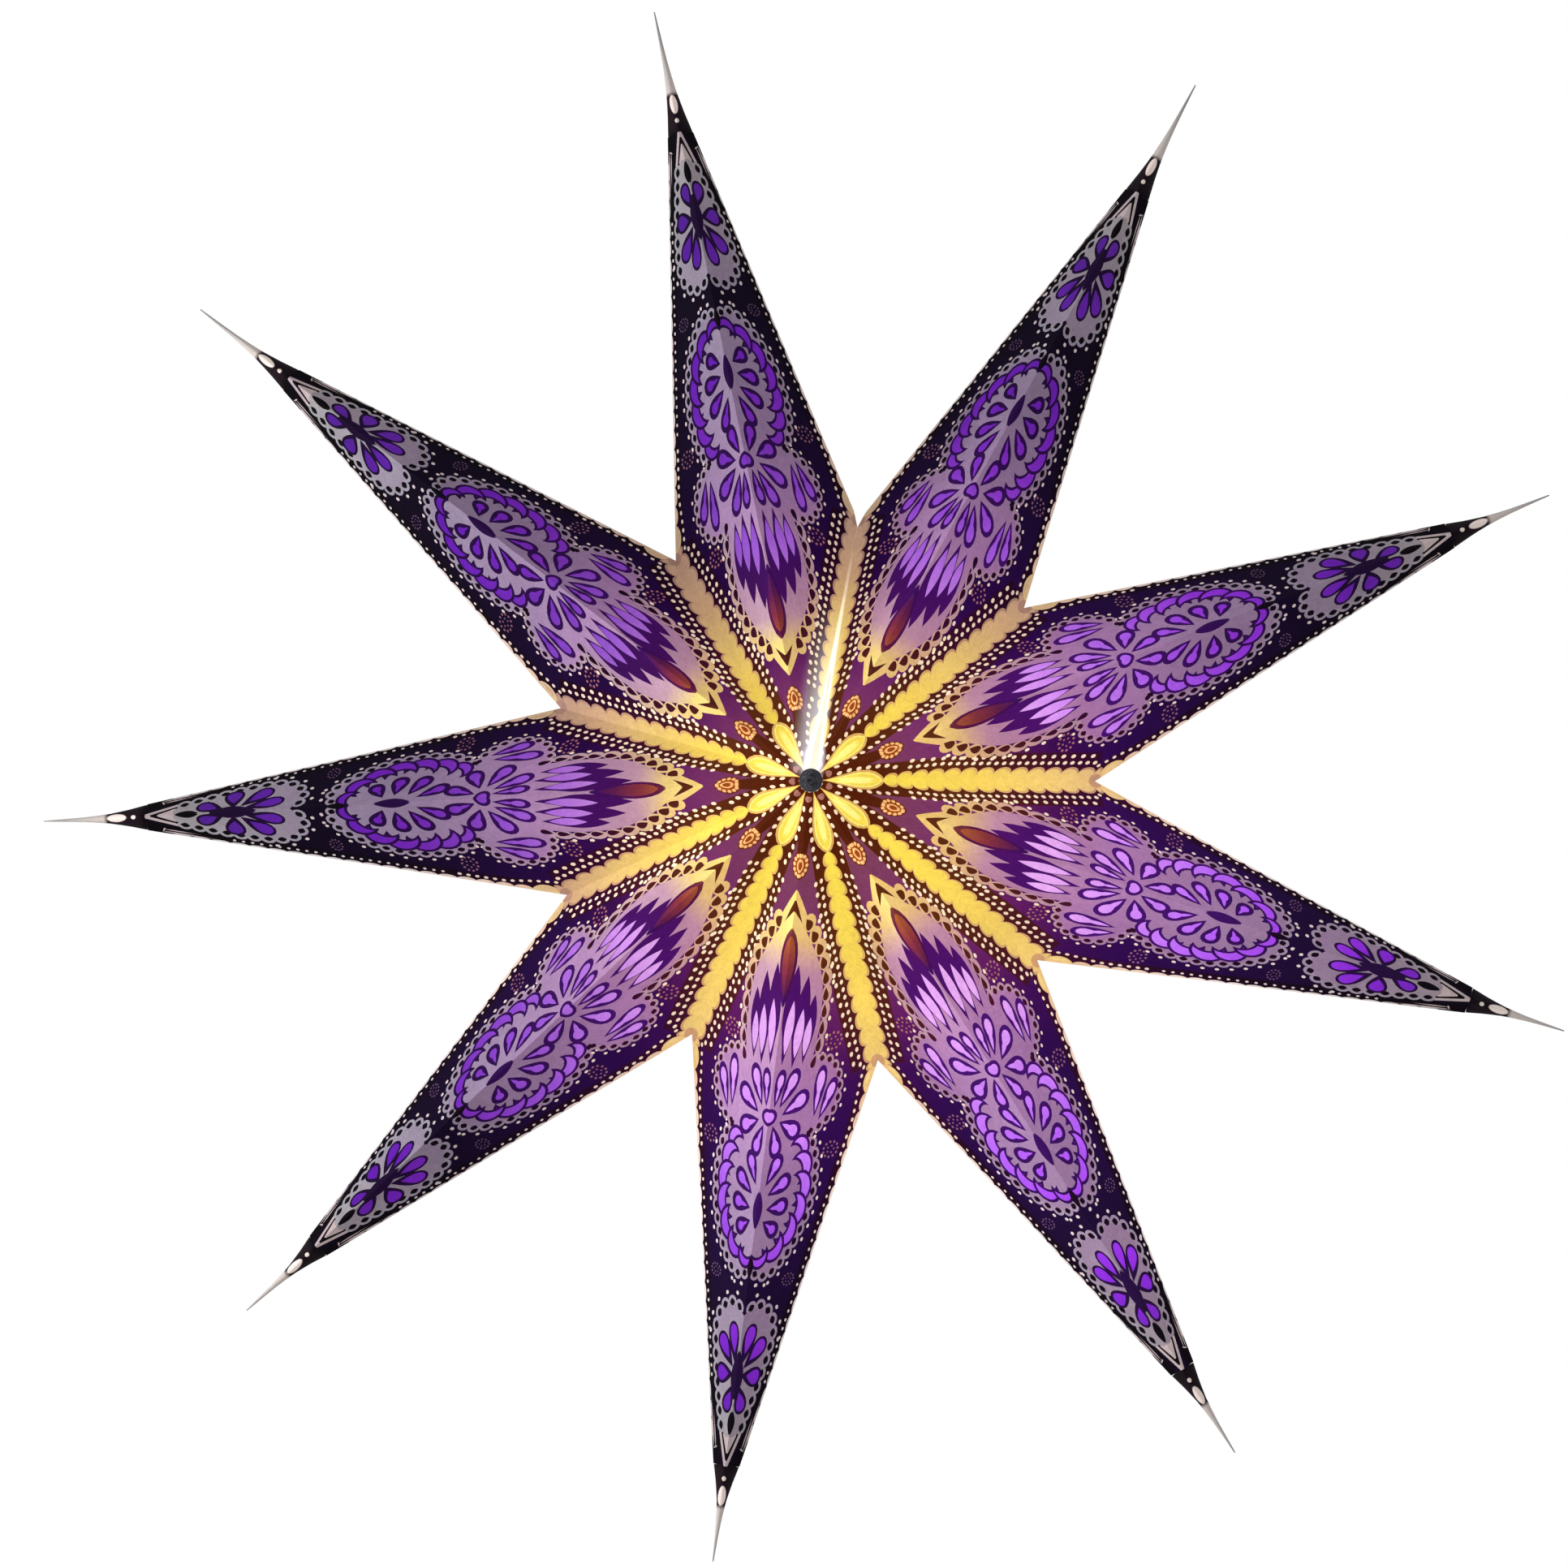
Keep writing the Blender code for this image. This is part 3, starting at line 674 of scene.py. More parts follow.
def bud(pitch):
    """Pointed bud nearest the hub, with a dark lens on the ridge and a fan of petals."""
    corners = [uv(56.0, 4.6), uv(61.5, 9.2), uv(69.5, 15.4), uv(76, 19.2), uv(83, 21.6)]
    corners += [uv(92, 22.6), uv(101, 22.4), uv(109, 21.0), uv(114, 19.0)]
    half = Bud(corners, pitch * 1.2, [uv(122, 17), uv(122, -1), uv(50.6, -1), uv(50.6, 0)])
    for start, end, width in (
        (uv(111, 3.4), uv(72, 6.4), 9.0),
        (uv(113, 9.6), uv(77, 13.2), 8.8),
        (uv(112, 15.6), uv(85, 18.6), 7.2),
    ):
        half.details.append((leaf(start, end, width, fullness=0.55), "rim"))
    for start, end, width in (
        (uv(107, 4.2), uv(86, 6.2), 5.0),
        (uv(109, 10.4), uv(90, 12.4), 5.2),
        (uv(109, 15.9), uv(94, 17.4), 4.4),
    ):
        half.details.append((leaf(start, end, width, fullness=0.5), "window"))
    half.details.append((leaf(uv(57.0, 0), uv(88, 0), 10.0, fullness=0.42), "lens_rim"))
    half.details.append((leaf(uv(60.0, 0), uv(84, 0), 7.0, fullness=0.42), "lens"))
    half.details.append((leaf(uv(92, 0), uv(118, 0), 5.2, fullness=0.6), "lilac"))
    return half


def wheel(pitch, rim):
    """Round medallion at the notch, with a wheel of petals and a spray in its lobe."""
    corners = [uv(111, 25), uv(112.5, 32), uv(118, 38), uv(126, 40)]
    corners += [uv(133, 37.5), uv(138, 31), uv(140, 23.5)]
    half = Medallion(corners, pitch * 0.84, [uv(142, 20), uv(142, -1), uv(108, -1), uv(108, 20)])
    for start, end, width in (
        (uv(127.5, 2.2), uv(112.6, 5.0), 7.6),
        (uv(128.0, 5.2), uv(113.6, 14.4), 9.4),
        (uv(131.0, 7.2), uv(124.4, 22.4), 10.0),
        (uv(133.5, 6.2), uv(140.2, 19.4), 9.6),
        (uv(134.5, 2.6), uv(148.0, 7.2), 9.0),
        (uv(134.5, 26.6), uv(114.0, 29.0), 8.6),
        (uv(136.0, 29.6), uv(120.0, 37.6), 8.2),
    ):
        half.details += window(drop(start, end, width), rim)
    half.details.append((ellipse(uv(131, 0), 3.4, 4.6, steps=16), "rim"))
    half.details.append((ellipse(uv(131, 0), 2.0, 2.8, steps=14), "window"))
    return half


def oval(pitch, rim):
    """Long medallion with scale-shaped windows along its edge and drops inside."""
    corners = [uv(139, 23), uv(146, 28.5), uv(154, 31.2), uv(163, 31.6), uv(172, 29.8), uv(181, 25.6)]
    corners += [uv(189, 19.0), uv(194, 11.5), uv(194, 5.0), uv(191.5, 1.0)]
    half = Medallion(corners, pitch * 0.92, [uv(189, -1), uv(136, -1), uv(136, 20)])
    centre = uv(164, 0)
    for place, size in (
        (uv(146.2, 20.6), 6.0),
        (uv(153.8, 22.8), 7.0),
        (uv(162.2, 23.4), 7.4),
        (uv(170.6, 22.0), 7.4),
        (uv(178.0, 18.0), 7.2),
        (uv(183.6, 11.8), 6.6),
        (uv(186.4, 4.2), 5.4),
    ):
        half.details += lit_scale(place, (place - centre).normalized(), size, rim)
    for start, end, width in (
        (uv(158.5, 2.8), uv(146.6, 10.2), 9.0),
        (uv(162.5, 4.6), uv(156.6, 17.6), 9.2),
        (uv(168.0, 4.8), uv(168.0, 18.0), 9.2),
        (uv(172.5, 3.6), uv(178.8, 13.2), 8.6),
    ):
        half.details += window(drop(start, end, width), rim)
    half.details.append((leaf(uv(160, 0), uv(175, 0), 5.2), "rim"))
    half.details.append((leaf(uv(186, 0), uv(194.5, 0), 3.0), "edging"))
    return half


def end_drop(pitch, rim):
    """Drop-shaped medallion with a flower of eight petals, nearest the tip."""
    corners = [uv(208.0, 1.0), uv(206.4, 6.5), uv(209, 12.8), uv(213.6, 16.8), uv(219.5, 18.0)]
    corners += [uv(227, 16.6), uv(235, 14.0), uv(244, 10.6), uv(252, 7.3), uv(257.5, 5.0)]
    half = Medallion(corners, pitch, [uv(258.5, 2.0), uv(257.5, -1), uv(209.5, -1)], beads_until=228)
    for start, end, width in (
        (uv(229.5, 1.6), uv(213.4, 6.4), 9.4),
        (uv(231.0, 3.0), uv(220.6, 14.8), 9.8),
        (uv(233.5, 2.2), uv(236.4, 14.2), 10.2),
        (uv(237.0, 1.2), uv(249.4, 5.2), 8.8),
    ):
        half.details += petal(start, end, width, rim)
    half.details.append((leaf(uv(223, 0), uv(243, 0), 7.0, fullness=0.55), "rim"))
    half.details.append((leaf(uv(247.4, 0), uv(257.2, 0), 3.8), "edging"))
    return half


def end_chevrons():
    """Two pale chevrons, one inside the other, that point at the tip, and a thin bracket at the edge."""
    outer = [uv(254.5, 8.2), uv(258.5, 6.6), uv(270.5, 0.5), uv(272, -1), uv(254.5, -1)]
    gap = [uv(253.0, 7.3), uv(257.6, 5.4), uv(267.4, 0.2), uv(267.4, -1), uv(253.0, -1)]
    inner = [uv(256.8, 3.8), uv(258.4, 3.8), uv(264.4, 0.1), uv(264.4, -1), uv(256.8, -1)]
    bracket = [
        leaf(from_edge(135, 1.2), from_edge(158.6, 1.2), 0.8, fullness=0.7),
        leaf(from_edge(143, 2.6), from_edge(157.8, 2.6), 0.6, fullness=0.7),
        leaf(from_edge(158.4, 0.5), from_edge(157.4, 3.6), 0.7, fullness=0.7),
    ]
    chevrons = [(outer, "end_chevron"), (gap, "edging"), (inner, "end_chevron")]
    return chevrons + [(line, "end_chevron") for line in bracket]


def print_layout():
    """The whole print of half a point."""
    sizes = settings().sizes
    dot, lace_pitch, rim = in_layout(sizes.dot), in_layout(sizes.lace_pitch), in_layout(sizes.rim)
    halves = [oval(lace_pitch, rim), bud(lace_pitch), wheel(lace_pitch, rim), end_drop(lace_pitch, rim)]
    shapes = ground() + side_scallops() + amber_drop()
    for centre, size in ((uv(105, 33.2), 3.4), (uv(149, 39.4), 3.2), (uv(198.5, 23.4), 2.4)):
        shapes += small_rosette(centre, size)
    shapes += border_dots(dot) + chevron() + end_chevrons()
    shapes += [shape for half in halves for shape in half.border()]
    shapes += [shape for half in halves for shape in half.fill()]
    shapes += [shape for half in halves for shape in half.holes() + half.details]
    shapes += dots([uv(197.5, 1.5), uv(199.0, 12)], 4.6, dot * 0.8)
    return shapes + valley_band(in_layout(sizes.scallop_pitch))


# The inks, and the printed facets

# Each ink's colour at distances in millimetres from the hub, as the lit paper shows it: the print's colour
# with the lamp's light painted in, brighter near the hub and darker outwards
INK_RAMPS = {
    "ground": (
        (15, "7a4050"), (45, "773064"), (65, "601c5e"), (85, "3c0b50"), (105, "2d064a"),
        (145, "21063a"), (185, "18062a"), (255, "10061c"),
    ),
    "edging": (
        (15, "521c08"), (45, "5c2a12"), (65, "4e1a1c"), (90, "380a2c"), (130, "20041f"),
        (185, "0f0416"), (255, "0a040a"),
    ),
    "band": (
        (15, "f4da54"), (35, "f2d656"), (55, "f2d060"), (82, "e8c478"), (105, "d6ac84"),
        (125, "cca48a"),
    ),
    "band_edge": ((15, "e2b45e"), (55, "e0b672"), (82, "cc9c76"), (105, "b88e78"), (125, "b08a7c")),
    # Painted highlights of the valley band, in a paler yellow
    "band_light": (
        (15, "fff28c"), (35, "fef084"), (55, "fae878"), (82, "f2d484"), (105, "e4be90"),
        (125, "dab294"),
    ),
    "lobe": ((90, "ecc688"), (120, "e2c48e"), (150, "d2b8a0")),
    "cream": ((15, "ffe2c0"), (60, "ffeccc"), (110, "f6dcca"), (160, "e2cecc"), (255, "c6bac0")),
    "lace": (
        (40, "ecc870"), (58, "e6c084"), (70, "d6ac92"), (86, "c49aa2"), (112, "b08aa8"),
        (150, "a082a0"), (200, "9c88a0"), (255, "a0909e"),
    ),
    "lilac": (
        (45, "ecd07c"), (56, "e6c078"), (62, "d2a694"), (68, "be8ca4"), (85, "b482a6"),
        (110, "aa78aa"), (150, "9a749e"), (195, "947696"), (255, "a08a98"),
    ),
    "rim": ((60, "4c0e5e"), (110, "44106a"), (150, "3a0c5c"), (200, "2c0a48"), (255, "261036")),
    "window": (
        (75, "e4a8ec"), (100, "cc86ec"), (130, "b262ee"), (165, "a43eec"), (195, "9630e6"),
        (255, "7a34c0"),
    ),
    "lens": ((56, "a0542c"), (66, "80303a"), (76, "581a4a"), (90, "400e66")),
    "lens_rim": ((48, "8a4424"), (60, "561440"), (80, "3c0c58")),
    "amber": ((25, "f8c080"), (40, "f0b878")),
    "amber_dark": ((25, "9c4812"), (40, "8e3c10")),
    "rosette": (
        (5, "a06a5e"), (30, "b88474"), (60, "d09a7c"), (95, "a86a6c"), (125, "94606e"),
        (150, "805670"), (200, "5c4464"),
    ),
    "bare_edge": ((110, "e8c09c"), (135, "ecd0be"), (165, "e6d8d4"), (255, "c8c0c2")),
    "end_chevron": ((240, "c4b2b2"), (270, "bcaeb0")),
    # Painted lamp light: the inner face is bare paper, bright near the hub and dark at the tips only by the
    # lamp's light
    "inside": ((0, "fff6e0"), (110, "f6dcb4"), (160, "a8907e"), (220, "4c3c40"), (285, "241c22")),
}
INKS = tuple(INK_RAMPS)

# Distances of a facet's edges from the ridge and valley creases: in the CAD, then on the outer and the inner
# face here. The front closes up to a fold; the back keeps a hair's room, for nothing hinges it there.
CAD_CREASES = (0.26, 0.52)
OUTER_CREASES = {FRONT: (-0.43, 0.30), BACK: (-0.34, 0.38)}
INNER_CREASES = {FRONT: (-0.004, -0.004), BACK: (0.06, 0.08)}

# How near a corner is to a crease's edge when it moves with it, and when it lies on it
CREASE_NEAR = 0.06
ON_CREASE = 0.01

# Where the facets end at the hub, along the ridge: in the CAD before the first, here under the knot's edge
CAD_HUB_END = 5.2
HUB_END = 4.62

# Distances of the open seam's edge from its valley, by the distance from the hub; how far in a corner is
# clear of the seam; and how far the paper's cut edge slants toward the valley on its way inside
SEAM_GAPS = (
    (5.2, 2.1), (14, 2.1), (22, 1.75), (30, 1.4), (43, 0.95),
    (57, 0.66), (75, 0.50), (95, 0.42), (128.7, 0.40),
)
SEAM_CLEAR = 2.3
SEAM_BEVEL = 0.30

# How near two corners of the print may be before they become one: in the layout, and in the finished mesh
SAME_CORNER = 1e-4
SAME_VERTEX = PAPER * 0.01


def facet_outline(cad, to_layout, side, seam):
    """The CAD facet's outline in the layout, its creases closed up to a hair and its open seam drawn in."""
    points = [to_layout @ vertex.co for vertex in cad.data.vertices]
    outer = [point.xy / MM for point in points if point.z > PAPER / 2]
    outline = [outer[index] for index in convex_hull_2d(outer)]
    outline = [uv(HUB_END, point.y) if point.x < CAD_HUB_END else point for point in outline]
    if not seam:
        return [mitred(point, CAD_CREASES, OUTER_CREASES[side]) for point in outline]
    drawn_in = []
    for point in outline:
        if VALLEY_IN.dot(point) > SEAM_CLEAR or abs(point.y - CAD_CREASES[0]) < ON_CREASE:
            drawn_in.append(mitred(point, CAD_CREASES, OUTER_CREASES[side]))
        elif VALLEY_ALONG.dot(point) > SEAM_GAPS[-2][0]:
            drawn_in += [from_valley(along, gap) for along, gap in reversed(SEAM_GAPS)]
    return drawn_in


def seam_gap(along):
    """How far the open seam's edge stays off its valley at a distance from the hub."""
    for (start, first), (end, second) in zip(SEAM_GAPS, SEAM_GAPS[1:]):
        if start <= along <= end:
            return first + (second - first) * (along - start) / (end - start)
    return 0.0


def inner_place(point, side, seam):
    """The place on the paper's inner face under a place on the outline of its outer face."""
    if seam and abs(VALLEY_IN.dot(point) - seam_gap(VALLEY_ALONG.dot(point))) < CREASE_NEAR:
        point = point - VALLEY_IN * SEAM_BEVEL
    return mitred(point, OUTER_CREASES[side], INNER_CREASES[side])


def mitred(point, creases, wanted):
    """A place moved to its wanted distance from the ridge or the valley, if it lies on that crease's edge."""
    ridge, valley = creases
    if abs(point.y - ridge) < CREASE_NEAR:
        point = Vector((point.x, wanted[0]))
    depth = VALLEY_IN.dot(point)
    if abs(depth - valley) < CREASE_NEAR:
        point = point + VALLEY_IN * (wanted[1] - depth)
    return point


def turning(shape):
    """Twice the enclosed area: positive for an outline that runs anticlockwise."""
    return sum(a.cross(b) for a, b in zip(shape, shape[1:] + shape[:1]))


def printed_face(outline, shapes):
    """Triangles of the outlined facet, each with the ink of the topmost shape that covers it."""
    points = list(outline)
    faces = [list(range(len(outline)))]
    for shape, _ in shapes:
        if turning(shape) < 0:
            shape = shape[::-1]
        faces.append(list(range(len(points), len(points) + len(shape))))
        points += shape
    corners, _, triangles, _, _, sources = delaunay_2d_cdt(points, [], faces, 1, SAME_CORNER, True)
    inked = []
    for triangle, owners in zip(triangles, sources):
        top = max(owners, default=0)
        if 0 in owners:
            inked.append((triangle, "ground" if top == 0 else shapes[top - 1][1]))
    return corners, inked


def paper_facet(cad, matrix, shapes, side, seam):
    """Mesh of a sheet of printed paper in the place of a CAD facet."""
    outline = facet_outline(cad, matrix.inverted(), side, seam)
    corners, inked = printed_face(outline, shapes)
    bm = bmesh.new()
    verts = [bm.verts.new((point.x * MM, point.y * MM, PAPER)) for point in corners]
    for triangle, ink in inked:
        face = bm.faces.new([verts[index] for index in triangle])
        face.material_index = INKS.index(ink)
    bmesh.ops.delete(bm, geom=[vert for vert in bm.verts if not vert.link_faces], context="VERTS")
    bmesh.ops.remove_doubles(bm, verts=bm.verts, dist=SAME_VERTEX)
    bmesh.ops.dissolve_degenerate(bm, edges=bm.edges, dist=SAME_VERTEX)
    rim_edges = [edge for edge in bm.edges if edge.is_boundary]
    wall = bmesh.ops.extrude_edge_only(bm, edges=rim_edges)["geom"]
    for vert in (item for item in wall if isinstance(item, bmesh.types.BMVert)):
        inner = inner_place(vert.co.xy / MM, side, seam)
        vert.co = (*(inner * MM), 0.0)
    for face in (item for item in wall if isinstance(item, bmesh.types.BMFace)):
        face.material_index = INKS.index("inside")
    closed = bmesh.ops.holes_fill(bm, edges=[edge for edge in bm.edges if edge.is_boundary])["faces"]
    for face in closed:
        face.material_index = INKS.index("inside")
    bm.transform(matrix)
    bmesh.ops.recalc_face_normals(bm, faces=bm.faces)
    return bm


# The rolled tips and the knots

# At each section of a tip the share of its length, the share of its first size, and how round it is there.
# The tongue also has a share of width: it reaches into the point and stays in it when the star folds.
TONGUE_SECTIONS = ((-0.13, 1.08, 0.0, 0.06), (0.0, 0.93, 0.0, 0.06))
ROLL_SECTIONS = (
    (0.0, 1.0, 0.0), (0.08, 0.86, 0.1), (0.16, 0.72, 0.25), (0.26, 0.575, 0.5), (0.36, 0.44, 0.8),
    (0.48, 0.325, 1.0), (0.60, 0.225, 1.0), (0.74, 0.155, 1.0), (0.88, 0.10, 1.0), (1.0, 0.055, 1.0),
)
TIP_SECTIONS = TONGUE_SECTIONS + ROLL_SECTIONS

# How far each tip reaches from the star's centre, by the number of its point; where they start; the sides of
# a section; and the share of the first size that a fully round section has
TIP_RADII = {1: 0.3075, 2: 0.3005, 3: 0.2975, 4: 0.297, 5: 0.2965, 6: 0.2965, 7: 0.300, 8: 0.3045, 9: 0.3085}
TIP_START = 0.2598
TIP_SIDES = 16
ROUND_REACH = 0.86


def tip_half_sizes():
    """Half width and half depth of a point where its tip starts."""
    left_over = CREASE_RADIUS - TIP_START
    notch_out = NOTCH_RADIUS * math.cos(HALF_STEP)
    half_width = NOTCH_RADIUS * math.sin(HALF_STEP) * left_over / (CREASE_RADIUS - notch_out)
    return half_width, HALF_DEPTH * left_over / CREASE_RADIUS


def tip_section(size, roundness, slimness=1.0):
    """Places round a section: a diamond of four facets that turns into an ellipse as the paper is rolled."""
    half_width, half_depth = tip_half_sizes()
    places = []
    for step in range(TIP_SIDES):
        turn = 2 * math.pi * step / TIP_SIDES
        across, deep = math.cos(turn), math.sin(turn)
        diamond = 1 / (abs(across) + abs(deep))
        reach = size * (diamond + (ROUND_REACH - diamond) * roundness)
        places.append((across * half_width * reach * slimness, deep * half_depth * reach))
    return places


def rolled_tip(offset):
    """Mesh of a tapering roll drawn out of the point, with its place along and across kept for the print."""
    outwards = radial(point_angle(offset))
    sideways = radial(point_angle(offset) + math.pi / 2)
    length = TIP_RADII[point_number(offset)] - TIP_START
    bm = bmesh.new()
    place_layer = bm.verts.layers.float_vector.new("tip_place")

    def place_section(verts, along, *shape):
        for vert, (across, deep) in zip(verts, tip_section(*shape)):
            middle = STAR_CENTRE + outwards * (TIP_START + length * along)
            vert.co = middle + sideways * across + Vector((0.0, deep, 0.0))
            vert[place_layer] = Vector((along * length, across, deep)) / MM

    ring = bmesh.ops.create_circle(bm, cap_ends=False, radius=MM, segments=TIP_SIDES)["verts"]
    place_section(ring, *TIP_SECTIONS[0])
    first_ring = ring
    edges = list({edge for vert in ring for edge in vert.link_edges})
    for section in TIP_SECTIONS[1:]:
        new = bmesh.ops.extrude_edge_only(bm, edges=edges)["geom"]
        edges = [item for item in new if isinstance(item, bmesh.types.BMEdge) and item.is_boundary]
        raised = {item for item in new if isinstance(item, bmesh.types.BMVert)}
        ring = [raised_from(vert, raised) for vert in ring]
        place_section(ring, *section)
    bm.faces.new(first_ring)
    bm.faces.new(ring)
    bmesh.ops.recalc_face_normals(bm, faces=bm.faces)
    for face in bm.faces:
        face.smooth = len(face.verts) == 4 and max(vert[place_layer].x for vert in face.verts) > 0
    return bm


def raised_from(vert, raised):
    """The extruded vertex that an edge joins to this one."""
    return next(edge.other_vert(vert) for edge in vert.link_edges if edge.other_vert(vert) in raised)


def add_piece(name, bm, materials):
    """Put a finished mesh into the scene as a piece."""
    mesh = bpy.data.meshes.new(name)
    bm.to_mesh(mesh)
    bm.free()
    for material in materials:
        mesh.materials.append(material)
    piece = bpy.data.objects.new(name, mesh)
    bpy.context.scene.collection.objects.link(piece)
    return piece


THREAD = 0.00072

# The knot's rings, as heights above the hub and radii in millimetres, and the strands over them, as the turn
# in degrees and the lean of each strand's axis, and its radius in millimetres
KNOT_RINGS = ((-2.6, 2.7), (-1.3, 3.1), (0.0, 3.7), (0.75, 2.85), (1.3, 1.95), (1.65, 1.05), (1.7, 0.3))
KNOT_STRANDS = ((15, 0.5, 2.7), (55, -0.4, 2.5), (95, 0.3, 2.8), (150, -0.55, 2.6))
STRAND_HEIGHT = 0.45
STRAND_SHARE = 0.8


def wound_ring(bm, centre, axis, radius, thread=THREAD):
    """One turn of thread about an axis through the centre."""
    turn = Vector((0.0, 0.0, 1.0)).rotation_difference(axis).to_matrix().to_4x4()
    start = Matrix.Translation((radius, 0.0, 0.0)) @ Matrix.Rotation(math.pi / 2, 4, "X")
    verts = bmesh.ops.create_circle(bm, cap_ends=False, radius=thread, segments=8, matrix=start)["verts"]
    edges = list({edge for vert in verts for edge in vert.link_edges})
    before = set(bm.verts) - set(verts)
    bmesh.ops.spin(
        bm, geom=verts + edges, cent=(0, 0, 0), axis=(0, 0, 1), angle=2 * math.pi, steps=28, use_merge=True
    )
    added = [vert for vert in bm.verts if vert not in before]
    bmesh.ops.transform(bm, matrix=Matrix.Translation(centre) @ turn, verts=added)


def hub_knot(side):
    """Mesh of thread wound to a dome that fills the hub's hole, with crossing strands over it."""
    outwards = Vector((0.0, side, 0.0))
    hub = STAR_CENTRE + outwards * HALF_DEPTH
    bm = bmesh.new()
    for height, radius in KNOT_RINGS:
        wound_ring(bm, hub + outwards * height * MM, outwards, radius * MM)
    for turn, lean, radius in KNOT_STRANDS:
        axis = Matrix.Rotation(math.radians(turn), 3, "Y") @ Vector((1.0, lean * side, 0.0)).normalized()
        wound_ring(bm, hub + outwards * STRAND_HEIGHT * MM, axis, radius * MM, THREAD * STRAND_SHARE)
    for face in bm.faces:
        face.smooth = True
    bmesh.ops.recalc_face_normals(bm, faces=bm.faces)
    return bm


# Finishes

# The colour of the settings that tints each ink
INK_TINTS = {
    "dark_print": ("ground", "edging", "rim"),
    "bands": ("band", "band_edge", "band_light", "lobe"),
    "pale_print": ("cream", "lace", "lilac", "amber", "amber_dark", "rosette", "end_chevron"),
    "windows": ("window", "lens", "lens_rim"),
    "bare_paper": ("bare_edge", "inside"),
}

# How much of its colour an ink throws back from the room and how much it glows with, in red, green and blue.
# Pale inks look mauve where the lamp is near and grey far from it: their green comes from the room.
INK_LIGHT = {
    "window": ((0.05, 0.04, 0.11), (0.97, 0.95, 0.93)),
    "rim": ((0.10, 0.10, 0.10), (0.92, 0.92, 0.92)),
    "ground": ((0.13, 0.13, 0.13), (0.87, 0.87, 0.87)),
    "edging": ((0.25, 0.25, 0.25), (0.75, 0.75, 0.75)),
    "lilac": ((0.42, 0.62, 0.48), (0.58, 0.38, 0.52)),
    "lace": ((0.42, 0.56, 0.46), (0.58, 0.42, 0.52)),
    "band": ((0.30, 0.30, 0.34), (0.76, 0.76, 0.72)),
    "band_light": ((0.30, 0.30, 0.34), (0.76, 0.76, 0.72)),
    "inside": ((0.45, 0.45, 0.45), (0.62, 0.62, 0.62)),
}
MOST_INKS_LIGHT = ((0.40, 0.40, 0.42), (0.64, 0.62, 0.58))
REACH = 285

# The glow's strength by the distance from the brightest place
GLOW_REACH = (0.095, 0.205)
GLOW_STRENGTH = (1.10, 0.36)

# Where the holder shades the paper its colours are those of paper farther from the hub, and opposite, nearer
SHADE_DIRECTION = Vector((-math.sin(math.radians(30)), 0.0, math.cos(math.radians(30))))
SHADE_REACH = 0.085
SHADE_SHIFT = 0.026
SHADED_INKS = ("ground", "edging", "band", "band_edge", "band_light", "lobe", "window")
LEAST_SHADE_SHIFT = 0.004

# White glare beside the open seam: the distances right of the hub, and up from it, where it comes or goes
GLARE_LEFT = (-0.0105, 0.0)
GLARE_RIGHT = (0.0, 0.0035)
GLARE_START = (0.0, 0.006)
GLARE_END = (0.018, 0.074)
GLARE_COLOUR = (0.60, 0.62, 0.66)

# Its bright core: half its width at the hub, how many times narrower it grows, and where
CORE_EDGE = (0.0018, 0.0048)
CORE_END = (0.020, 0.105)
CORE_NARROWS = (0.01, 0.10)
CORE_TIMES = (1.0, 8.0)

# Ranges of a calculation: up from nothing, down to nothing, and the middle range of a noise
RISING = (0.0, 1.0)
FALLING = (1.0, 0.0)
NOISE_RANGE = (0.3, 0.7)

# The paper's fibres and clouds: each noise's scale, detail and distortion, and the tones that it gives
FIBRES = (420.0, 5.0, 1.2)
FIBRE_TONES = (0.88, 1.08)
CLOUDS = (38.0, 3.0)
CLOUD_TONES = (0.93, 1.06)

# The rolled tips' colours at shares of the print's length from the root, that length in millimetres, and the
# pale marks, each by its distance from the root, half its length and half its width
TIP_COLOURS = ((0.0, "0b0309"), (0.375, "120610"), (0.415, "a09692"), (0.60, "98928f"), (1.0, "777473"))
TIP_PRINT = 40.2
TIP_MARKS = ((4.7, 0.95, 0.8), (11.4, 3.9, 1.5))
TIP_MARK_COLOUR = "c2b4ae"
TIP_MARK_EDGE = (0.9, 1.05)


def tinted(code, tint):
    """Linear colour of a screen colour under a tint."""
    return [part * share for part, share in zip(linear(code), tint)]


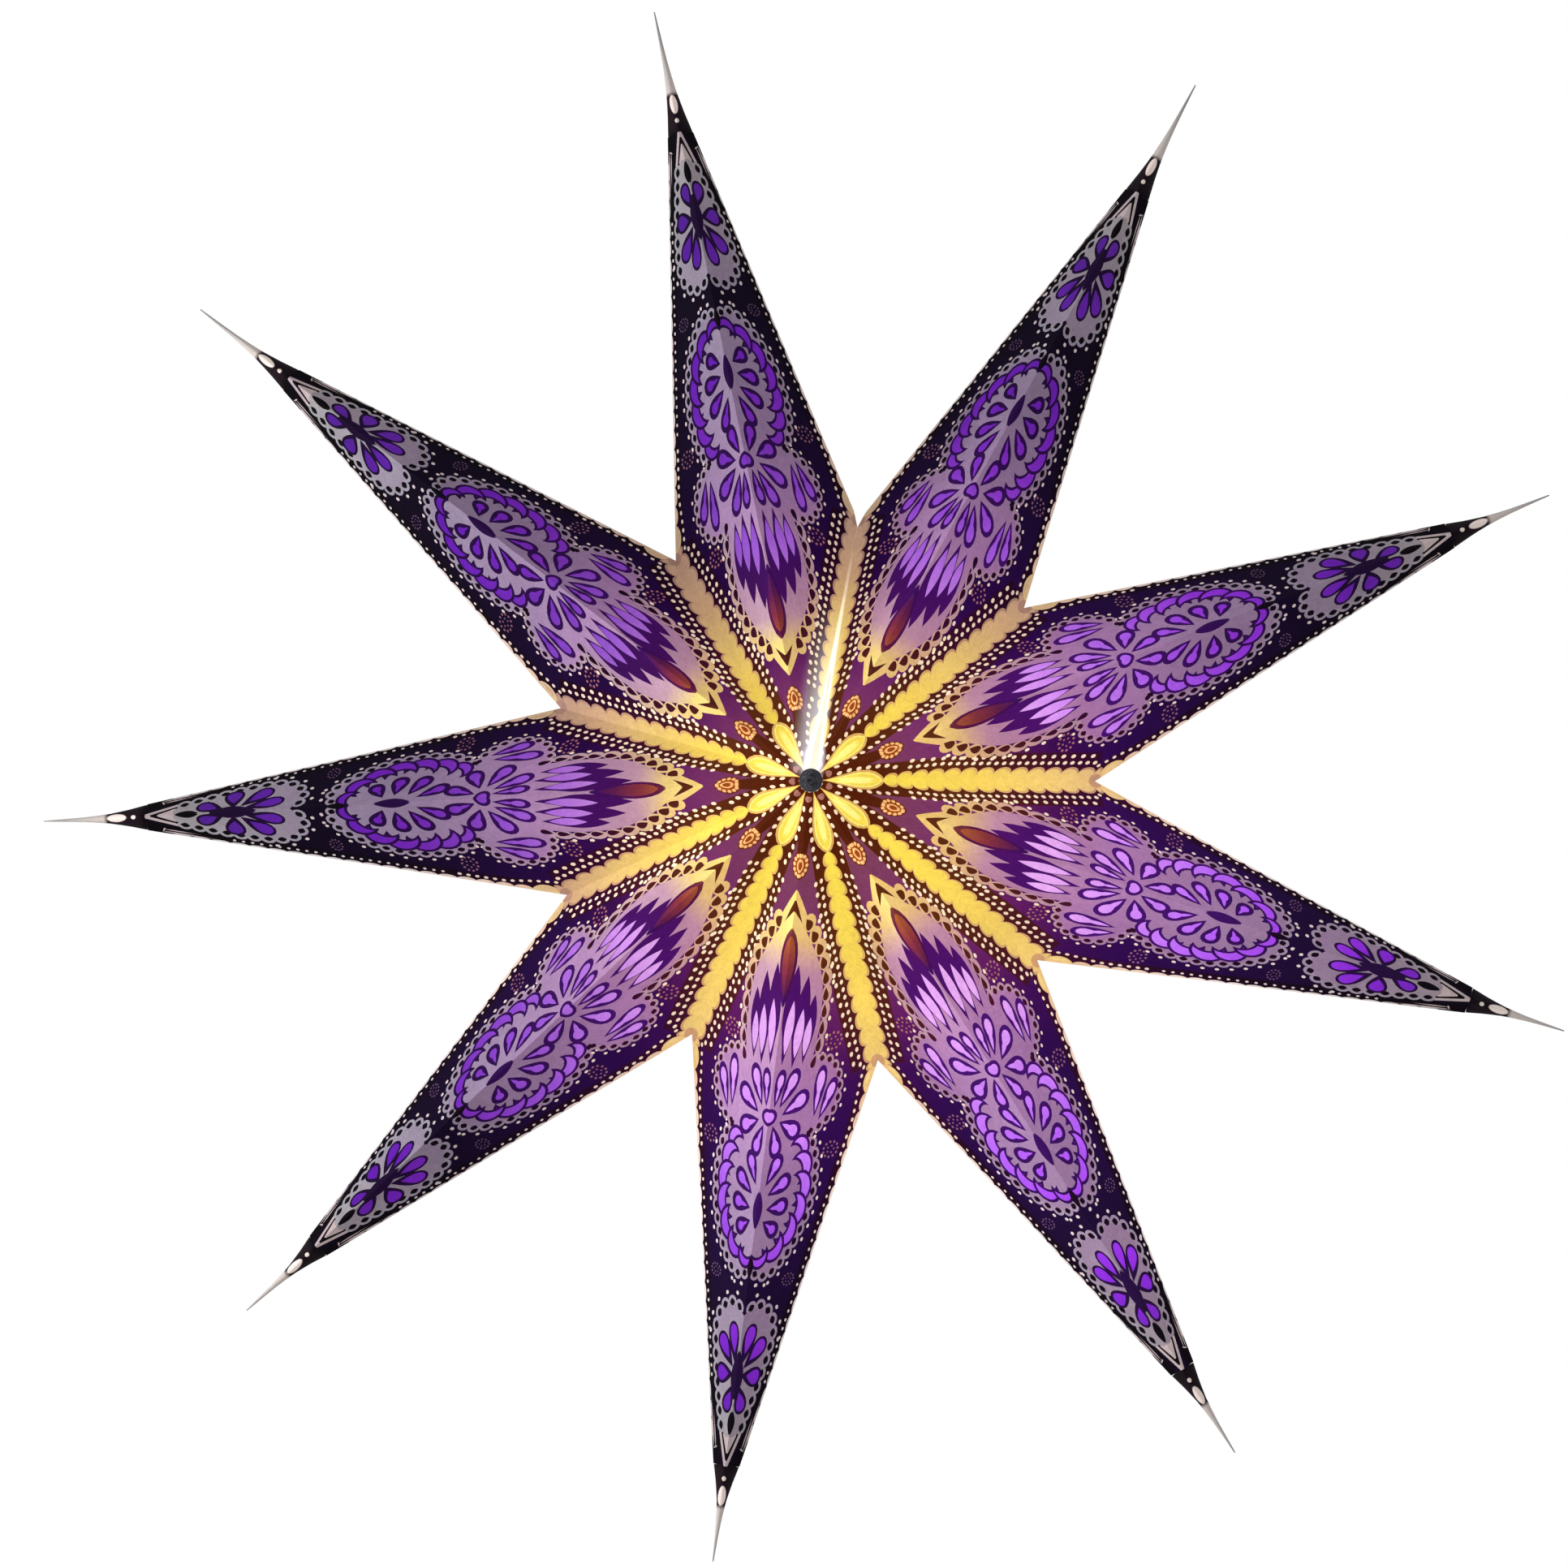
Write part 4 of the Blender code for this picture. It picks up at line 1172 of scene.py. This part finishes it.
class Finish:
    """A material in the making: its nodes, and short ways to add a calculation to them."""

    def __init__(self, name, colour, roughness, metallic=0.0, emission=0.0):
        self.material = bpy.data.materials.new(name)
        self.material.use_nodes = True
        self.nodes = self.material.node_tree.nodes
        self.links = self.material.node_tree.links
        self.shader = self.nodes["Principled BSDF"]
        self.place = self.nodes.new("ShaderNodeTexCoord").outputs["Object"]
        self.shade("Base Color", colour)
        self.shade("Roughness", roughness)
        self.shade("Metallic", metallic)
        if emission:
            self.shade("Emission Color", colour)
            self.shade("Emission Strength", emission)

    def feed(self, socket, value):
        """Set a socket: from another socket, or to a fixed number, vector or colour."""
        if isinstance(value, bpy.types.NodeSocket):
            self.links.new(value, socket)
        elif socket.type == "RGBA":
            socket.default_value = (*value, 1.0)
        else:
            socket.default_value = value

    def shade(self, name, value):
        """Set one of the shader's sockets."""
        self.feed(self.shader.inputs[name], value)

    def vector(self, operation, first, second):
        """Socket of a vector operation."""
        node = self.nodes.new("ShaderNodeVectorMath")
        node.operation = operation
        self.feed(node.inputs[0], first)
        self.feed(node.inputs[1], second)
        return node.outputs["Value" if operation in ("DISTANCE", "DOT_PRODUCT") else "Vector"]

    def number(self, operation, *values):
        """Socket of an operation on one or two numbers."""
        node = self.nodes.new("ShaderNodeMath")
        node.operation = operation
        for socket, value in zip(node.inputs, values):
            self.feed(socket, value)
        return node.outputs["Value"]

    def scaled(self, colour, factor):
        """Socket of a colour made brighter or darker by a factor."""
        node = self.nodes.new("ShaderNodeVectorMath")
        node.operation = "SCALE"
        self.feed(node.inputs[0], colour)
        self.feed(node.inputs["Scale"], factor)
        return node.outputs["Vector"]

    def ranged(self, value, before, after, smooth=False):
        """Socket of a number that is moved from one range to another and kept in it."""
        node = self.nodes.new("ShaderNodeMapRange")
        node.interpolation_type = "SMOOTHSTEP" if smooth else "LINEAR"
        for name, bound in zip(("From Min", "From Max", "To Min", "To Max"), (*before, *after)):
            node.inputs[name].default_value = bound
        self.feed(node.inputs["Value"], value)
        return node.outputs["Result"]

    def parts(self, vector, *axes):
        """Sockets of a vector's parts along the named axes."""
        node = self.nodes.new("ShaderNodeSeparateXYZ")
        self.feed(node.inputs["Vector"], vector)
        return [node.outputs[axis] for axis in axes]

    def ramp(self, stops, share):
        """Socket of the colour that the stops, linear colours at shares from 0 to 1, have at a share."""
        node = self.nodes.new("ShaderNodeValToRGB")
        elements = node.color_ramp.elements
        while len(elements) < len(stops):
            elements.new(1.0)
        for element, (position, colour) in zip(elements, stops):
            element.position = position
            element.color = (*colour, 1.0)
        self.feed(node.inputs["Fac"], share)
        return node.outputs["Color"]

    def mixed(self, share, first, second):
        """Socket of a colour between the socket of the first and the second, a fixed colour."""
        node = self.nodes.new("ShaderNodeMix")
        node.data_type = "RGBA"
        self.feed(node.inputs["Factor"], share)
        self.feed(node.inputs["A"], first)
        self.feed(node.inputs["B"], second)
        return node.outputs["Result"]

    def noise(self, scale, detail, distortion=0.0):
        """Socket of a noise on the piece's own place."""
        node = self.nodes.new("ShaderNodeTexNoise")
        for name, value in (("Scale", scale), ("Detail", detail), ("Distortion", distortion)):
            node.inputs[name].default_value = value
        self.feed(node.inputs["Vector"], self.place)
        return node.outputs["Fac"]

    def bump(self, height, strength, distance):
        """Relief of the surface."""
        node = self.nodes.new("ShaderNodeBump")
        self.feed(node.inputs["Strength"], strength)
        self.feed(node.inputs["Distance"], distance)
        self.feed(node.inputs["Height"], height)
        self.shade("Normal", node.outputs["Normal"])

    def grain(self, scale, strength, distance):
        """Fine relief from a noise, whose socket is handed back for other uses."""
        noise = self.noise(scale, 4.0)
        self.bump(noise, strength, distance)
        return noise


def ink_material(ink):
    """Printed paper lit from behind: its colour follows the distance from the hub, its glow the lamp's."""
    star = settings()
    tint = next(getattr(star.colours, name) for name, inks in INK_TINTS.items() if ink in inks)
    stops = [(distance / REACH, tinted(code, tint)) for distance, code in INK_RAMPS[ink]]
    finish = Finish(f"paper_{ink}", stops[0][1], roughness=0.75)
    finish.shade("Specular IOR Level", 0.02)

    flat = finish.vector("MULTIPLY", finish.place, (1.0, 0.0, 1.0))
    radius = finish.vector("DISTANCE", flat, STAR_CENTRE)
    from_hub = finish.vector("SUBTRACT", flat, STAR_CENTRE)
    shade = finish.vector("DOT_PRODUCT", from_hub, SHADE_DIRECTION)
    shift = SHADE_SHIFT if ink in SHADED_INKS else LEAST_SHADE_SHIFT
    shift = finish.ranged(shade, (-SHADE_REACH, SHADE_REACH), (-shift, shift))
    shifted = finish.number("ADD", radius, shift)
    colour = finish.ramp(stops, finish.ranged(shifted, (0.0, REACH * MM), RISING))

    clouds = finish.noise(*CLOUDS)
    toned = finish.scaled(colour, finish.ranged(finish.noise(*FIBRES), NOISE_RANGE, FIBRE_TONES))
    toned = finish.scaled(toned, finish.ranged(clouds, NOISE_RANGE, CLOUD_TONES))
    finish.bump(clouds, strength=0.25, distance=0.0004)

    thrown_back, glow = INK_LIGHT.get(ink, MOST_INKS_LIGHT)
    finish.shade("Base Color", finish.vector("MULTIPLY", toned, thrown_back))
    reach = finish.vector("DISTANCE", flat, star.light.centre)
    near = finish.ranged(reach, GLOW_REACH, [star.light.glow * strength for strength in GLOW_STRENGTH])
    lit = finish.scaled(finish.vector("MULTIPLY", toned, glow), near)
    finish.shade("Emission Color", finish.vector("ADD", lit, seam_glare(finish)))
    finish.shade("Emission Strength", star.light.inside if ink == "inside" else 1.0)
    return finish.material


def seam_glare(finish):
    """White light that spills from the open seam onto the paper beside it."""
    aside, up = finish.parts(finish.vector("SUBTRACT", finish.place, STAR_CENTRE), "X", "Z")
    left = finish.ranged(aside, GLARE_LEFT, RISING, smooth=True)
    right = finish.ranged(aside, GLARE_RIGHT, FALLING, smooth=True)
    outwards = finish.ranged(up, GLARE_END, FALLING, smooth=True)
    upwards = finish.ranged(up, GLARE_START, RISING, smooth=True)
    veil = finish.scaled(finish.scaled(left, right), finish.scaled(outwards, upwards))
    veil = finish.vector("MULTIPLY", veil, GLARE_COLOUR)

    narrowing = finish.ranged(up, CORE_NARROWS, CORE_TIMES)
    off_seam = finish.number("MULTIPLY", finish.number("ABSOLUTE", aside), narrowing)
    beside = finish.ranged(off_seam, CORE_EDGE, FALLING, smooth=True)
    along = finish.ranged(up, CORE_END, FALLING, smooth=True)
    core = finish.scaled(finish.number("MULTIPLY", beside, along), upwards)
    return finish.vector("ADD", veil, core)


def tip_material():
    """Plain paper, printed dark at its root with a pale dot and oval on the ridge."""
    tint = settings().colours.bare_paper
    finish = Finish("rolled_paper", tinted(TIP_MARK_COLOUR, tint), roughness=0.8)
    finish.shade("Specular IOR Level", 0.06)
    attribute = finish.nodes.new("ShaderNodeAttribute")
    attribute.attribute_name = "tip_place"
    place = attribute.outputs["Vector"]
    (along,) = finish.parts(place, "X")
    stops = [(share, tinted(code, tint)) for share, code in TIP_COLOURS]
    colour = finish.ramp(stops, finish.ranged(along, (0.0, TIP_PRINT), RISING))

    marks = []
    for centre, half_length, half_width in TIP_MARKS:
        moved = finish.vector("SUBTRACT", place, (centre, 0.0, 0.0))
        spread = finish.vector("MULTIPLY", moved, (1 / half_length, 1 / half_width, 0.0))
        reach = finish.vector("DISTANCE", spread, (0.0, 0.0, 0.0))
        marks.append(finish.ranged(reach, TIP_MARK_EDGE, FALLING))
    colour = finish.mixed(finish.number("MAXIMUM", *marks), colour, tinted(TIP_MARK_COLOUR, tint))
    finish.shade("Base Color", colour)
    finish.grain(scale=900.0, strength=0.3, distance=0.0002)
    return finish.material


def thread_material():
    """Cotton thread with a twisted ply and painted shade, nearly black, between its strands; made once for
    all the ties.
    """
    if "thread" in bpy.data.materials:
        return bpy.data.materials["thread"]
    colour = settings().colours.thread
    finish = Finish("thread", colour, roughness=0.9)
    finish.shade("Specular IOR Level", 0.25)
    finish.shade("Sheen Weight", 0.15)
    noise = finish.grain(scale=2600.0, strength=0.6, distance=0.0002)
    # Painted shade: where the noise sinks between the strands the colour falls nearly to black
    finish.shade("Base Color", finish.ramp(((0.0, linear("060608")), (1.0, colour)), noise))
    return finish.material


def moulded_material(name, colour, glow=0.0):
    """Moulded plastic with a faint spark-eroded grain; where the lamp shines through it, it glows."""
    finish = Finish(name, colour, roughness=0.42, emission=glow)
    noise = finish.grain(scale=1800.0, strength=0.12, distance=0.0001)
    finish.shade("Roughness", finish.ranged(noise, NOISE_RANGE, (0.36, 0.5)))
    return finish.material


def opal_material(colour, brightness):
    """Opal glass that glows, a little unevenly where the coat inside is thicker."""
    finish = Finish("opal", colour, roughness=0.3, emission=brightness)
    finish.shade("Base Color", linear("5c584e"))
    noise = finish.grain(scale=60.0, strength=0.04, distance=0.0001)
    uneven = finish.ranged(noise, NOISE_RANGE, (brightness * 0.94, brightness * 1.06))
    finish.shade("Emission Strength", uneven)
    return finish.material


def metal_material(name, colour, roughness):
    """Drawn metal, a little dulled in places."""
    finish = Finish(name, colour, roughness, metallic=0.9)
    noise = finish.grain(scale=500.0, strength=0.08, distance=0.0001)
    finish.shade("Roughness", finish.ranged(noise, (0.35, 0.7), (roughness, roughness + 0.2)))
    return finish.material


def floor_material():
    """Pale painted floor with faint cloudy differences in tone and sheen."""
    finish = Finish("floor", linear("f4f2ee"), roughness=0.7)
    clouds = finish.noise(3.0, 4.0)
    finish.shade("Base Color", finish.ramp(((0.35, linear("efede8")), (0.65, linear("f7f5f2"))), clouds))
    finish.shade("Roughness", finish.ranged(clouds, NOISE_RANGE, (0.62, 0.78)))
    return finish.material


# Operators


class PAPERSTAR_OT_facets(bpy.types.Operator):
    """Replace each CAD facet by a sheet of printed paper"""

    bl_idname = "paperstar.facets"
    bl_label = "Printed facets"

    def execute(self, context):
        shapes = print_layout()
        materials = [ink_material(ink) for ink in INKS]
        for offset in OFFSETS:
            for side in (FRONT, BACK):
                for turn in (1, -1):
                    node = facet_name(side, offset, turn)
                    matrix = facet_frame(side, offset, turn)
                    bm = paper_facet(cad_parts[node], matrix, shapes, side, is_seam(offset, turn))
                    piece = add_piece(f"printed_{node}", bm, materials)
                    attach(piece, node)
                    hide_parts(node)
        return {"FINISHED"}


class PAPERSTAR_OT_tips(bpy.types.Operator):
    """Roll the paper's ends to thin tails"""

    bl_idname = "paperstar.tips"
    bl_label = "Rolled tips"

    def execute(self, context):
        material = tip_material()
        for offset in OFFSETS:
            node = f"rolled_tip_{point_number(offset)}"
            piece = add_piece(f"tail_{point_number(offset)}", rolled_tip(offset), [material])
            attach(piece, node if offset else "star_carrier")
            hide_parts(node)
        return {"FINISHED"}


class PAPERSTAR_OT_knots(bpy.types.Operator):
    """Wind the threads that gather the points at the two hubs"""

    bl_idname = "paperstar.knots"
    bl_label = "Hub knots"

    def execute(self, context):
        for side, body in ((FRONT, "star_carrier"), (BACK, facet_name(BACK, 0, 1))):
            piece = add_piece(f"hub_knot_{SIDE_NAMES[side]}", hub_knot(side), [thread_material()])
            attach(piece, body)
            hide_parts(f"hub_tie_{SIDE_NAMES[side]}")
        return {"FINISHED"}


class PAPERSTAR_OT_lamp(bpy.types.Operator):
    """Finish the closing tie, the lamp holder and the lamp"""

    bl_idname = "paperstar.lamp"
    bl_label = "Lamp and holder"

    def execute(self, context):
        star = settings()
        brass = metal_material("drawn_brass", linear("e4c78b"), 0.22)
        finishes = {
            "closing_tie": thread_material(),
            "cord_grip": moulded_material("grip", linear("d8d4cc")),
            "holder_cap": moulded_material("holder", star.colours.holder),
            # Painted light: the holder's shell glows, though it gives no light, as if the globe lit it
            # through
            "holder_shell": moulded_material("lit_shell", linear("a8a294"), glow=1.6),
            "contact_block": moulded_material("block", linear("cfc4a8")),
            "centre_contact": brass,
            "socket_sleeve": brass,
            "lamp_cap": metal_material("cap_metal", linear("dfdfde"), 0.27),
            # Painted light: the lamp's neck glows as if the globe lit it through
            "lamp_neck": moulded_material("neck", linear("b0a898"), glow=1.8),
            "lamp_globe": opal_material(star.colours.lamp, star.light.lamp),
        }
        for node, material in finishes.items():
            for material_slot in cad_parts[node].material_slots:
                material_slot.material = material
        return {"FINISHED"}


# The stage: the floor, then each soft light's place, size and power
FLOOR_HEIGHT = -1.15
FLOOR_RADIUS = 2.2
SOFT_LIGHTS = {
    "left_softbox": ((-0.95, -0.35, -0.32), 0.6, 14.0),
    "front_softbox": ((0.8, -2.2, 0.7), 1.4, 4.0),
}

# The camera: degrees to the star's side, above it and of roll, its distance, how much of the star's plane it
# takes in, the star's place off the middle of the picture, and the sensor's width in millimetres
CAMERA_SIDE = 3.35
CAMERA_HEIGHT = -2.7
CAMERA_ROLL = 7.98
CAMERA_DISTANCE = 2.5
FRAME_WIDTH = 0.6009
STAR_IN_FRAME = Vector((0.01404, -0.00298, 0.0))
SENSOR_WIDTH = 36


class PAPERSTAR_OT_stage(bpy.types.Operator):
    """Set the floor, the soft light and the camera"""

    bl_idname = "paperstar.stage"
    bl_label = "Stage"

    def execute(self, context):
        scene = context.scene
        scene.view_settings.view_transform = "Standard"
        scene.world = bpy.data.worlds.new("pale_room")
        scene.world.use_nodes = True
        background = scene.world.node_tree.nodes["Background"]
        background.inputs["Color"].default_value = (1.0, 1.0, 1.0, 1.0)
        background.inputs["Strength"].default_value = 1.0
        self.add_floor()
        for name, (place, size, power) in SOFT_LIGHTS.items():
            self.add_light(scene, name, place, size, power)
        self.add_camera(scene)
        return {"FINISHED"}

    def add_floor(self):
        bm = bmesh.new()
        place = Matrix.Translation((0, 0, FLOOR_HEIGHT))
        bmesh.ops.create_circle(bm, cap_ends=True, radius=FLOOR_RADIUS, segments=96, matrix=place)
        add_piece("floor", bm, [floor_material()])

    def add_light(self, scene, name, place, size, power):
        """Soft square light that faces the star."""
        lamp = bpy.data.lights.new(name, "AREA")
        lamp.size = size
        lamp.energy = power
        light = bpy.data.objects.new(name, lamp)
        light.location = place
        light.rotation_euler = (STAR_CENTRE - light.location).to_track_quat("-Z", "Y").to_euler()
        light.visible_camera = False
        scene.collection.objects.link(light)

    def add_camera(self, scene):
        camera = bpy.data.objects.new("camera", bpy.data.cameras.new("camera"))
        side, height = math.radians(CAMERA_SIDE), math.radians(CAMERA_HEIGHT)
        level = math.cos(height)
        back = Vector((math.sin(side) * level, -math.cos(side) * level, math.sin(height)))
        roll = Matrix.Rotation(math.radians(CAMERA_ROLL), 3, "Z")
        turn = (-back).to_track_quat("-Z", "Y").to_matrix() @ roll
        camera.data.sensor_width = SENSOR_WIDTH
        camera.data.lens = SENSOR_WIDTH * CAMERA_DISTANCE / FRAME_WIDTH
        camera.data.clip_end = 50
        camera.location = STAR_CENTRE + back * CAMERA_DISTANCE - turn @ STAR_IN_FRAME
        camera.rotation_euler = turn.to_euler()
        scene.collection.objects.link(camera)
        scene.camera = camera


OPERATORS = (
    PAPERSTAR_OT_facets, PAPERSTAR_OT_tips, PAPERSTAR_OT_knots, PAPERSTAR_OT_lamp, PAPERSTAR_OT_stage,
)


class PAPERSTAR_PT_panel(bpy.types.Panel):
    """Lists the lantern's operators and settings"""

    bl_idname = "PAPERSTAR_PT_panel"
    bl_label = "Paper star"
    bl_space_type = "VIEW_3D"
    bl_region_type = "UI"
    bl_category = "Star"

    def draw(self, context):
        layout = self.layout
        star = context.scene.paper_star
        for group in (star.sizes, star.colours, star.light):
            for name in group.__annotations__:
                layout.prop(group, name)
        for operator in OPERATORS:
            layout.operator(operator.bl_idname)


CLASSES = (StarSizes, StarColours, StarLight, StarSettings, *OPERATORS, PAPERSTAR_PT_panel)


def register():
    for entry in CLASSES:
        bpy.utils.register_class(entry)
    bpy.types.Scene.paper_star = bpy.props.PointerProperty(type=StarSettings)


def unregister():
    del bpy.types.Scene.paper_star
    for entry in reversed(CLASSES):
        bpy.utils.unregister_class(entry)


def main():
    register()
    bpy.ops.paperstar.facets()
    bpy.ops.paperstar.tips()
    bpy.ops.paperstar.knots()
    bpy.ops.paperstar.lamp()
    bpy.ops.paperstar.stage()


if __name__ == "__main__":
    main()
